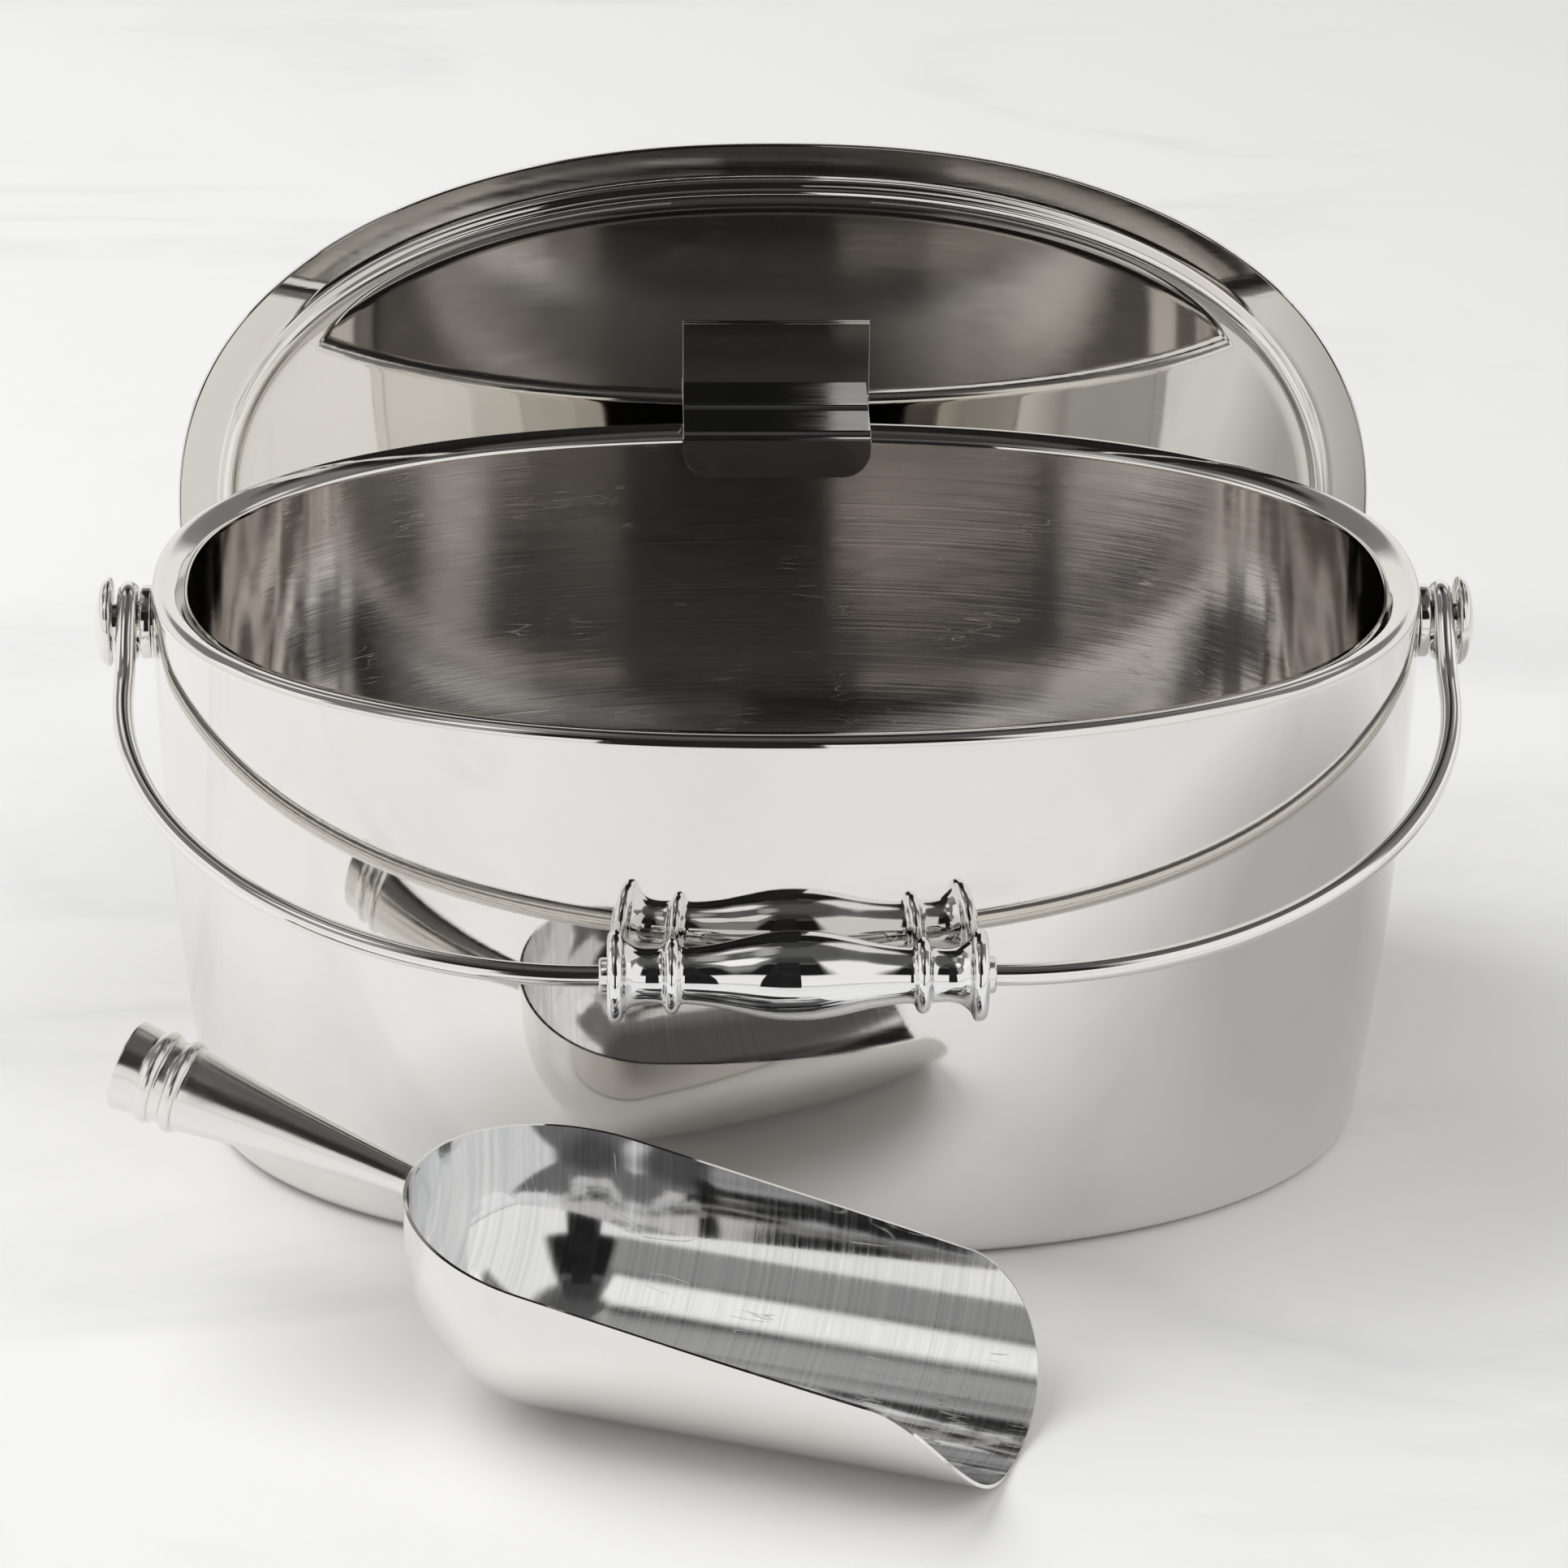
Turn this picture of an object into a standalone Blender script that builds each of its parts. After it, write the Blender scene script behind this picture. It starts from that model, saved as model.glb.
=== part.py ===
"""Oval double-wall ice bucket with a bail handle, a lid hung on its rear rim and an ice scoop.

Metres, +Z up. The origin is the centre of the bucket's flat base, +X runs along its long axis
and -Y is the front, where the bail hangs down.
"""
import math

import bmesh
import bpy
from mathutils import Matrix, Vector

MM = 0.001
CLEARANCE = 0.3 * MM            # gap between pieces that touch on the real object
RUNNING_FIT = 0.08 * MM         # radial play of a bore that turns on a wire
SMOOTH_EDGE_DEG = 35
HOLE_STEPS = 24

# Bucket
OVAL_EXPONENT = 2.25
OVAL_STEPS = 48
RIM_HALF_LENGTH = 180 * MM
RIM_HALF_WIDTH = 119 * MM
BUCKET_HEIGHT = 166 * MM
SHEET = 1.0 * MM
WALL_SPACING = 10.5 * MM        # outside of the outer wall to inside of the liner
RIM_ROUNDING = 3 * MM
RIM_DROP = 3.2 * MM             # how far the rim's inner edge lies below its crest
RIM_SLOPE_MM = ((9.8, 2.0), (8.5, 1.2), (6.0, 0.35))        # inset, depth below the crest
RIM_SLOPE_UNDERSIDE_MM = ((6.0, 1.4), (8.2, 2.4))
SEAM_HEIGHT = BUCKET_HEIGHT - 4.5 * MM
WALL_STEPS = 5
TAPER = 10.1 * MM               # how far the wall has drawn in at TAPER_DEPTH below the seam
TAPER_DEPTH = 150 * MM
BASE_ROUNDING = 7.5 * MM
LINER_FLOOR = 12 * MM
LINER_ROUNDING = 20 * MM

# Pivots
PIVOT_HEIGHT = 150 * MM
COLLAR_INNER_X = 180.35 * MM
COLLAR_THICKNESS = 3.0 * MM
COLLAR_RADIUS = 10.5 * MM
SHANK_RADIUS = 5.5 * MM
SHANK_LENGTH = 7.7 * MM
STUD_THREAD_RADIUS = 4.0 * MM
STUD_HEAD_RADIUS = 12.8 * MM
STUD_HEAD_EDGE = 1.5 * MM
STUD_EDGE_SOFTENING = 0.8 * MM
STUD_HOLE_DEPTH = 12 * MM
COLLAR_CHAMFER = 0.4 * MM
STUD_DOME_HEIGHT = 3.8 * MM
STUD_INNER_END = 171.6 * MM
BACKING_OUTER_X = 177.5 * MM
BACKING_THICKNESS = 1.5 * MM
BACKING_RADIUS = 11 * MM
NUT_THICKNESS = 3.4 * MM
NUT_RADIUS = 7 * MM
PIVOT_STEPS = 24

# Bail
WIRE_RADIUS = 3.0 * MM
EYE_X = 187 * MM
EYE_PLAY = 0.1 * MM
EYE_RADIUS = SHANK_RADIUS + EYE_PLAY + WIRE_RADIUS
EYE_STEPS = 20
EYE_START_DEG = -24             # the wire's end, in front and below; the stem leaves over the top
EYE_END_DEG = -280
BAIL_LENGTH = 138.6 * MM        # pivot axis to grip axis
BAIL_NECK_LEAD = 9 * MM
BAIL_NECK_PULL = 18 * MM
BAIL_NECK_END = 28 * MM
BAIL_NECK_STEPS = 5
BAIL_STEM_END = 30 * MM
BAIL_STRAIGHT_HALF = 55 * MM
BAIL_REST_DEG = 20.5            # below the horizontal, resting against the front wall
BAIL_CORNER_STEPS = 14

# Turned grip, from its middle to its end
GRIP_HALF_LENGTH = 51.2 * MM
GRIP_FLANGE_RADIUS = 12.6 * MM
GRIP_FLANGE_THICKNESS = 4.6 * MM
GRIP_BEAD_X = 33.8 * MM
GRIP_BEAD_RADIUS = 10.4 * MM
GRIP_BEAD_THICKNESS = 4.2 * MM
GRIP_BEAD_FOOT = 0.8 * MM
GRIP_NECK_RADIUS = 7.6 * MM
GRIP_END_NECK_RADIUS = 7.3 * MM
GRIP_BELLY_RADIUS = 12.2 * MM
GRIP_FILLET = 2.0 * MM
GRIP_FILLET_RISE = 1.2 * MM
GRIP_FLANGE_OUTLINE_MM = ((0, 2.6), (1.2, 0.4), (2.3, 0), (3.4, 0.4), (4.6, 2.2))   # along, radius drop
GRIP_BORE_RADIUS = 3.6 * MM
GRIP_STEPS = 20
BUSH_RADIUS = 5.0 * MM
BUSH_INSIDE = 5.0 * MM
BUSH_OUTSIDE = 2.2 * MM
BUSH_CHAMFER = 0.6 * MM

# Lid, in its own frame: flange underside at zero, top side towards +Z
LID_OVERHANG = 2.2 * MM
LID_TILT_DEG = -2                # hung, the top edge leans over the bucket
LID_CENTRE = Vector((0, 131.14 * MM, 130.46 * MM))
LID_SHEET = 0.8 * MM
LID_HEM = 0.6 * MM
LID_HEM_HEIGHT = 1.4 * MM
LID_FLANGE_WIDTH = 12 * MM
LID_BRIM_DROP = 2.4 * MM        # the flange is a shallow cone, its outer edge this much lower
LID_PANEL_DEPTH = 3.0 * MM
LID_PANEL_INSET = 22.5 * MM
LID_RING_UNDERSIDE_MM = ((18, 3.5), (16.2, 4.7), (14.6, 4.9), (13.2, 3.6), (12.7, 0.7))   # inset, depth
LID_RING_TOP_MM = ((13.6, 0.2), (14.0, 3.1), (14.9, 4.0), (16.0, 3.8), (18.2, 2.6))
LID_RING_TOP_START = 12.4 * MM
LID_TOP_FLANGE = 2.0 * MM
LID_DOME_RISE = 13 * MM
LID_DOME_SHARES = (1.0, 0.93, 0.8, 0.6, 0.35, 0.12)
HOOK_HALF_WIDTH = 28.2 * MM
HOOK_SHEET = 1.0 * MM
HOOK_BRIDGE = 36.35 * MM        # underside of the bridge above the lid's centre line
HOOK_WELD_TOP = 64.5 * MM
HOOK_REACH = 24.0 * MM          # flange plane to the tongue's near side to the rim
HOOK_TONGUE = 14.5 * MM
HOOK_CORNER = 8.5 * MM
LID_HANDLE_HALF = 60 * MM
LID_HANDLE_RISE = 42 * MM
LID_HANDLE_CORNER = 9 * MM
LID_HANDLE_HOLE_DEPTH = 20 * MM
LID_ROD_END_DEPTH = 5.2 * MM    # how far the rod's ends reach in below the feet
LID_GRIP_SCALE = 0.84
FOOT_RADIUS = 9 * MM
FOOT_LIFT = 1.2 * MM
FOOT_OUTLINE_MM = ((0, 0), (1.0, 0), (2.2, 3.0), (4.0, 4.4))    # height, radius drop
HANDLE_NUT_RADIUS = 5.5 * MM
HANDLE_NUT_THICKNESS = 3 * MM
HANDLE_NUT_LIFT = 0.2 * MM

# Scoop, lying on the table: its own X runs from the lip to the back
SCOOP_LIP = Vector((55.5 * MM, -216 * MM, 0))
SCOOP_HEADING_DEG = 160
SCOOP_RADIUS = 46 * MM
SCOOP_SHEET = 1.0 * MM
SCOOP_BACK_CENTRE = 122 * MM
SCOOP_BACK_HEIGHT = 60 * MM
SCOOP_LIP_HEIGHT = 37 * MM      # where the side walls turn down to the lip
SCOOP_LIP_LENGTH = 28 * MM
SCOOP_LIP_STARTS = (0.0, 0.03, 0.12, 0.3, 0.6, 1.0)
SCOOP_LIP_ROUNDNESS = 1.8
SCOOP_LIP_BLUNTNESS = 0.62
SCOOP_SIDE_STEPS = 4
SCOOP_BACK_STEPS = 10
SCOOP_ROWS = 6
SCOOP_WELD_DISTANCE = 0.01 * MM
SCOOP_HANDLE_HEIGHT = 54.4 * MM
SCOOP_HANDLE_RISE_DEG = 14.5
SCOOP_HANDLE_LENGTH = 84 * MM
SCOOP_HANDLE_GAP = 1.6 * MM
SCOOP_HANDLE_STEPS = 20
SCOOP_NECK_RADIUS = 4.6 * MM
SCOOP_END_RADIUS = 12.0 * MM
SCOOP_BAND_LENGTH = 20 * MM
SCOOP_BAND_STEP = 0.4 * MM
SCOOP_BEADS = (16.5 * MM, 9 * MM)       # from the handle's end
SCOOP_BEAD_HALF_WIDTH = 2.6 * MM
SCOOP_BEAD_CREST = 1.2 * MM
SCOOP_BEAD_RISE = 1.1 * MM
SCOOP_END_FLARE = 0.6 * MM
SCOOP_CAP_CHAMFER = 0.3 * MM
SCOOP_CAP_DROP = 0.5 * MM
SCOOP_CAP_THICKNESS = 2.5 * MM

SIDES = (("left", -1), ("right", 1))

STEEL = ((0.72, 0.71, 0.69, 1), 0.12, 1.0)
SATIN_STEEL = ((0.62, 0.60, 0.57, 1), 0.28, 1.0)
CHROME = ((0.80, 0.80, 0.81, 1), 0.05, 1.0)
ZINC_STEEL = ((0.50, 0.51, 0.53, 1), 0.40, 1.0)


def clear_scene():
    for obj in list(bpy.data.objects):
        bpy.data.objects.remove(obj)


def material(name, finish):
    colour, roughness, metallic = finish
    mat = bpy.data.materials.new(name)
    mat.use_nodes = True
    shader = mat.node_tree.nodes["Principled BSDF"]
    shader.inputs["Base Color"].default_value = colour
    shader.inputs["Roughness"].default_value = roughness
    shader.inputs["Metallic"].default_value = metallic
    return mat


def empty(name, location, rotation=(0, 0, 0)):
    obj = bpy.data.objects.new(name, None)
    obj.location = location
    obj.rotation_euler = rotation
    bpy.context.collection.objects.link(obj)
    return obj


def node(name, bm, finish, parent=None):
    """Turn a bmesh into one named object with its own material."""
    bmesh.ops.recalc_face_normals(bm, faces=bm.faces)
    mesh = bpy.data.meshes.new(name)
    bm.to_mesh(mesh)
    bm.free()
    mesh.materials.append(material(name, finish))
    obj = bpy.data.objects.new(name, mesh)
    obj.parent = parent
    bpy.context.collection.objects.link(obj)
    mesh.shade_smooth()
    mesh.set_sharp_from_angle(angle=math.radians(SMOOTH_EDGE_DEG))
    return obj


def cut_hole(obj, name, radius, depth, matrix):
    """Cut a round hole along the matrix's Z axis, in the object's own frame."""
    bm = bmesh.new()
    bmesh.ops.create_cone(bm, cap_ends=True, segments=HOLE_STEPS, radius1=radius, radius2=radius,
                          depth=depth, matrix=matrix)
    mesh = bpy.data.meshes.new(name)
    bm.to_mesh(mesh)
    bm.free()
    cutter = bpy.data.objects.new(name, mesh)
    cutter.parent = obj.parent
    cutter.display_type = "WIRE"
    cutter.hide_render = True
    bpy.context.collection.objects.link(cutter)
    boolean = obj.modifiers.new(name, "BOOLEAN")
    boolean.operation = "DIFFERENCE"
    boolean.object = cutter


def bridge(bm, first, second, wrap=True):
    """Join two rows of vertices with quads."""
    count = len(first)
    last = count if wrap else count - 1
    for i in range(last):
        j = (i + 1) % count
        bm.faces.new((first[i], first[j], second[j], second[i]))


def arc(centre_a, centre_b, radius, start_deg, end_deg, steps):
    """Points of a round corner in a section plane."""
    points = []
    for i in range(steps + 1):
        angle = math.radians(start_deg + (end_deg - start_deg) * i / steps)
        points.append((centre_a + radius * math.cos(angle), centre_b + radius * math.sin(angle)))
    return points


def oval_point(angle, half_length, half_width, inset):
    """A point of the superellipse, moved inwards along its normal."""
    power = 2 / OVAL_EXPONENT
    c, s = math.cos(angle), math.sin(angle)
    u = math.copysign(abs(c) ** power, c)
    v = math.copysign(abs(s) ** power, s)
    nx = math.copysign(abs(u) ** (OVAL_EXPONENT - 1), u) / half_length
    ny = math.copysign(abs(v) ** (OVAL_EXPONENT - 1), v) / half_width
    length = math.hypot(nx, ny)
    return half_length * u - inset * nx / length, half_width * v - inset * ny / length


def oval_ring(bm, half_length, half_width, inset, height, shrink=1.0):
    ring = []
    for i in range(OVAL_STEPS):
        x, y = oval_point(2 * math.pi * i / OVAL_STEPS, half_length, half_width, inset)
        ring.append(bm.verts.new((x * shrink, y * shrink, height)))
    return ring


def oval_solid(half_length, half_width, section):
    """Loft an oval pressing. section lists (inset, height) or (inset, height, shrink) from the
    middle of one side over the edge to the middle of the other side."""
    bm = bmesh.new()
    rings = [oval_ring(bm, half_length, half_width, *entry) for entry in section]
    for first, second in zip(rings, rings[1:]):
        bridge(bm, first, second)
    bm.faces.new(rings[0])
    bm.faces.new(rings[-1])
    return bm


def turned(profile, steps, matrix, bored=False):
    """Turn (along, radius) pairs about local X. A bored piece's profile closes on itself."""
    bm = bmesh.new()
    rings = []
    for along, radius in profile:
        ring = []
        for i in range(steps):
            angle = 2 * math.pi * i / steps
            point = Vector((along, radius * math.cos(angle), radius * math.sin(angle)))
            ring.append(bm.verts.new(matrix @ point))
        rings.append(ring)
    for first, second in zip(rings, rings[1:]):
        bridge(bm, first, second)
    if bored:
        bridge(bm, rings[-1], rings[0])
    else:
        bm.faces.new(rings[0])
        bm.faces.new(rings[-1])
    return bm


def wire(name, points, radius, finish, parent):
    """A round wire along a path."""
    curve = bpy.data.curves.new(name, "CURVE")
    curve.dimensions = "3D"
    curve.bevel_depth = radius
    curve.bevel_resolution = 3
    curve.use_fill_caps = True
    spline = curve.splines.new("POLY")
    spline.points.add(len(points) - 1)
    for target, point in zip(spline.points, points):
        target.co = (*point, 1)
    curve.materials.append(material(name, finish))
    obj = bpy.data.objects.new(name, curve)
    obj.parent = parent
    bpy.context.collection.objects.link(obj)
    return obj


def wall_inset(height):
    return TAPER * (max(SEAM_HEIGHT - height, 0) / TAPER_DEPTH) ** 2


def wall_section(offset, bottom, rounding, top):
    """Inside or outside of a drawn wall: a round corner, then the tapering wall."""
    corner_top = bottom + rounding
    corner_inset = wall_inset(corner_top) + offset + rounding
    section = arc(corner_inset, corner_top, rounding, -90, -180, 4)
    for i in range(1, WALL_STEPS + 1):
        height = corner_top + (top - corner_top) * i / WALL_STEPS
        section.append((wall_inset(height) + offset, height))
    return section


def outer_shell():
    top = SEAM_HEIGHT - CLEARANCE
    outside = wall_section(0, 0, BASE_ROUNDING, top)
    inside = wall_section(SHEET, SHEET, BASE_ROUNDING - SHEET, top)
    wall = oval_solid(RIM_HALF_LENGTH, RIM_HALF_WIDTH, outside + inside[::-1])
    obj = node("outer_shell", wall, STEEL)
    for side, sign in SIDES:
        at_wall = Matrix.Translation((RIM_HALF_LENGTH, 0, 0)) @ Matrix.Rotation(math.pi / 2, 4, "Y")
        matrix = side_matrix(sign) @ at_wall
        cut_hole(obj, side + "_stud_hole", STUD_THREAD_RADIUS + CLEARANCE, STUD_HOLE_DEPTH, matrix)


def inner_liner():
    wall_top = BUCKET_HEIGHT - RIM_DROP
    inside = wall_section(WALL_SPACING, LINER_FLOOR, LINER_ROUNDING, wall_top)
    rim = [(inset * MM, BUCKET_HEIGHT - depth * MM) for inset, depth in RIM_SLOPE_MM]
    rim += arc(RIM_ROUNDING, BUCKET_HEIGHT - RIM_ROUNDING, RIM_ROUNDING, 90, 180, 4)
    lip = [(0, SEAM_HEIGHT), (SHEET, SEAM_HEIGHT)]
    under = arc(RIM_ROUNDING, BUCKET_HEIGHT - RIM_ROUNDING, RIM_ROUNDING - SHEET, 180, 90, 2)
    under += [(inset * MM, BUCKET_HEIGHT - depth * MM) for inset, depth in RIM_SLOPE_UNDERSIDE_MM]
    outside = wall_section(WALL_SPACING - SHEET, LINER_FLOOR - SHEET, LINER_ROUNDING + SHEET,
                           wall_top - SHEET)
    section = inside + rim + lip + under + outside[::-1]
    node("inner_liner", oval_solid(RIM_HALF_LENGTH, RIM_HALF_WIDTH, section), SATIN_STEEL)


def side_matrix(sign):
    """Local +X points outwards at the left or the right pivot."""
    turn = Matrix.Rotation(0 if sign > 0 else math.pi, 4, "Z")
    return Matrix.Translation((0, 0, PIVOT_HEIGHT)) @ turn


def disc_with_hole(start, thickness, radius, hole, chamfer=0.0):
    end = start + thickness
    return [(start, hole), (start, radius), (end - chamfer, radius), (end, radius - chamfer), (end, hole)]


def hexagon_nut(start, thickness, radius, hole):
    """A nut whose six-sided bore still clears a round thread."""
    return disc_with_hole(start, thickness, radius, hole / math.cos(math.pi / 6))


def pivot(side, sign):
    matrix = side_matrix(sign)
    hole = STUD_THREAD_RADIUS + CLEARANCE
    collar = disc_with_hole(COLLAR_INNER_X, COLLAR_THICKNESS, COLLAR_RADIUS, hole, COLLAR_CHAMFER)
    node(side + "_pivot_collar", turned(collar, PIVOT_STEPS, matrix, bored=True), STEEL)

    shank_start = COLLAR_INNER_X + COLLAR_THICKNESS + CLEARANCE
    head_start = shank_start + SHANK_LENGTH
    edge_end = head_start + STUD_HEAD_EDGE
    stud = [(STUD_INNER_END, STUD_THREAD_RADIUS - STUD_EDGE_SOFTENING),
            (STUD_INNER_END + STUD_EDGE_SOFTENING, STUD_THREAD_RADIUS),
            (shank_start, STUD_THREAD_RADIUS),
            (shank_start, SHANK_RADIUS),
            (head_start, SHANK_RADIUS),
            (head_start, STUD_HEAD_RADIUS - STUD_EDGE_SOFTENING),
            (head_start + STUD_EDGE_SOFTENING, STUD_HEAD_RADIUS),
            (edge_end, STUD_HEAD_RADIUS)]
    dome_steps = 5
    for i in range(1, dome_steps):
        angle = math.pi / 2 * i / dome_steps
        stud.append((edge_end + STUD_DOME_HEIGHT * math.sin(angle), STUD_HEAD_RADIUS * math.cos(angle)))
    node(side + "_shoulder_stud", turned(stud, PIVOT_STEPS, matrix), STEEL)

    backing_start = BACKING_OUTER_X - BACKING_THICKNESS
    backing = disc_with_hole(backing_start, BACKING_THICKNESS, BACKING_RADIUS, hole)
    node(side + "_backing_plate", turned(backing, PIVOT_STEPS, matrix, bored=True), ZINC_STEEL)

    nut_start = backing_start - CLEARANCE - NUT_THICKNESS
    nut = hexagon_nut(nut_start, NUT_THICKNESS, NUT_RADIUS, hole)
    node(side + "_stud_nut", turned(nut, 6, matrix, bored=True), ZINC_STEEL)


def grip_profile(scale=1.0):
    """Half of the turned outline, from the middle to the end face."""
    points = [(0, GRIP_BELLY_RADIUS)]
    bead_start = GRIP_BEAD_X - GRIP_BEAD_THICKNESS / 2
    belly_steps = 5
    for i in range(1, belly_steps + 1):
        share = i / belly_steps
        blend = (1 + math.cos(math.pi * share)) / 2
        radius = GRIP_NECK_RADIUS + (GRIP_BELLY_RADIUS - GRIP_NECK_RADIUS) * blend
        points.append((bead_start * share, radius))
    bead_steps = 3
    for i in range(bead_steps + 1):
        angle = math.pi * i / bead_steps
        foot = GRIP_NECK_RADIUS + GRIP_BEAD_FOOT
        radius = foot + (GRIP_BEAD_RADIUS - foot) * math.sin(angle)
        points.append((GRIP_BEAD_X - GRIP_BEAD_THICKNESS / 2 * math.cos(angle), radius))
    flange_start = GRIP_HALF_LENGTH - GRIP_FLANGE_THICKNESS
    neck_middle = (GRIP_BEAD_X + GRIP_BEAD_THICKNESS / 2 + flange_start) / 2
    points.append((neck_middle, GRIP_END_NECK_RADIUS))
    points.append((flange_start - GRIP_FILLET, GRIP_END_NECK_RADIUS + GRIP_FILLET_RISE))
    for along, drop in GRIP_FLANGE_OUTLINE_MM:
        points.append((flange_start + along * MM, GRIP_FLANGE_RADIUS - drop * MM))
    return [(along * scale, radius * scale) for along, radius in points]


def mirrored(half):
    return [(-along, radius) for along, radius in half[:0:-1]] + half


def bail_point(x, along, across=0.0):
    """A point of the bail in its own frame: its plane is XY, from the pivot axis towards -Y."""
    return Vector((x, -along, across))


def bail_side():
    """Half of the bail's centre line: the eye's end, round the stud, down the stem, round the bow."""
    points = []
    for i in range(EYE_STEPS + 1):
        angle = math.radians(EYE_START_DEG + (EYE_END_DEG - EYE_START_DEG) * i / EYE_STEPS)
        points.append(bail_point(EYE_X, EYE_RADIUS * math.cos(angle), EYE_RADIUS * math.sin(angle)))
    start = points[-1]
    heading = math.radians(EYE_END_DEG - 90)
    lead = bail_point(0, BAIL_NECK_LEAD * math.cos(heading), BAIL_NECK_LEAD * math.sin(heading))
    control_a = start + lead
    end = bail_point(EYE_X, BAIL_NECK_END)
    control_b = bail_point(EYE_X, BAIL_NECK_PULL)
    for i in range(1, BAIL_NECK_STEPS + 1):
        t = i / BAIL_NECK_STEPS
        s = 1 - t
        points.append(s ** 3 * start + 3 * s * s * t * control_a + 3 * s * t * t * control_b + t ** 3 * end)
    for i in range(BAIL_CORNER_STEPS + 1):
        angle = math.pi / 2 * i / BAIL_CORNER_STEPS
        x = BAIL_STRAIGHT_HALF + (EYE_X - BAIL_STRAIGHT_HALF) * math.cos(angle)
        along = BAIL_STEM_END + (BAIL_LENGTH - BAIL_STEM_END) * math.sin(angle)
        points.append(bail_point(x, along))
    return points


def bail():
    frame = empty("bail_axis", (0, 0, PIVOT_HEIGHT), (math.radians(BAIL_REST_DEG), 0, 0))
    right = bail_side()
    left = [Vector((-p.x, p.y, p.z)) for p in right]
    wire("bail_wire", right + left[::-1], WIRE_RADIUS, SATIN_STEEL, frame)

    grip_axis = empty("grip_axis", (0, -BAIL_LENGTH, 0))
    grip_axis.parent = frame
    socket = BUSH_RADIUS + CLEARANCE
    socket_depth = GRIP_HALF_LENGTH - BUSH_INSIDE - CLEARANCE
    bore = [(GRIP_HALF_LENGTH, socket), (socket_depth, socket), (socket_depth, GRIP_BORE_RADIUS),
            (-socket_depth, GRIP_BORE_RADIUS), (-socket_depth, socket), (-GRIP_HALF_LENGTH, socket)]
    grip = turned(mirrored(grip_profile()) + bore, GRIP_STEPS, Matrix.Identity(4), bored=True)
    node("bail_grip", grip, CHROME, grip_axis)

    bush_bore = WIRE_RADIUS + RUNNING_FIT
    bush = disc_with_hole(GRIP_HALF_LENGTH - BUSH_INSIDE, BUSH_INSIDE + BUSH_OUTSIDE, BUSH_RADIUS,
                          bush_bore, BUSH_CHAMFER)
    for side, angle in (("left", math.pi), ("right", 0)):
        matrix = Matrix.Rotation(angle, 4, "Z")
        node(side + "_grip_bush", turned(bush, GRIP_STEPS, matrix, bored=True), STEEL, grip_axis)


def lid_size():
    return RIM_HALF_LENGTH + LID_OVERHANG, RIM_HALF_WIDTH + LID_OVERHANG


def brim_drop(inset):
    return LID_BRIM_DROP * (1 - inset / LID_FLANGE_WIDTH)


def dome_height(shrink):
    return LID_TOP_FLANGE + LID_DOME_RISE * (1 - shrink * shrink)


def lid_pan(frame):
    edge = LID_HEM + CLEARANCE
    under = [(LID_PANEL_INSET, -LID_PANEL_DEPTH)]
    under += [(inset * MM, -depth * MM) for inset, depth in LID_RING_UNDERSIDE_MM]
    under += [(LID_FLANGE_WIDTH, 0), (edge, -brim_drop(edge))]
    over = [(edge, LID_SHEET - brim_drop(edge)), (LID_RING_TOP_START, LID_SHEET)]
    over += [(inset * MM, -depth * MM) for inset, depth in LID_RING_TOP_MM]
    over.append((LID_PANEL_INSET, LID_SHEET - LID_PANEL_DEPTH))
    node("lid_pan", oval_solid(*lid_size(), under + over), STEEL, frame)


def lid_cover(frame):
    lower = [(LID_FLANGE_WIDTH, dome_height(s) - LID_SHEET, s) for s in LID_DOME_SHARES[::-1]]
    upper = [(LID_FLANGE_WIDTH, dome_height(s), s) for s in LID_DOME_SHARES]
    corner = LID_TOP_FLANGE - LID_HEM_HEIGHT
    hem = [(LID_HEM, LID_TOP_FLANGE - LID_SHEET - brim_drop(LID_HEM)),
           (LID_HEM, -LID_BRIM_DROP),
           (0, -LID_BRIM_DROP),
           (0, LID_HEM_HEIGHT - LID_BRIM_DROP),
           (corner, LID_TOP_FLANGE - brim_drop(corner))]
    obj = node("lid_cover", oval_solid(*lid_size(), lower + hem + upper), STEEL, frame)
    for side, sign in SIDES:
        matrix = Matrix.Translation((sign * LID_HANDLE_HALF, 0, LID_DOME_RISE))
        cut_hole(obj, side + "_handle_hole", WIRE_RADIUS + CLEARANCE, LID_HANDLE_HOLE_DEPTH, matrix)


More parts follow.
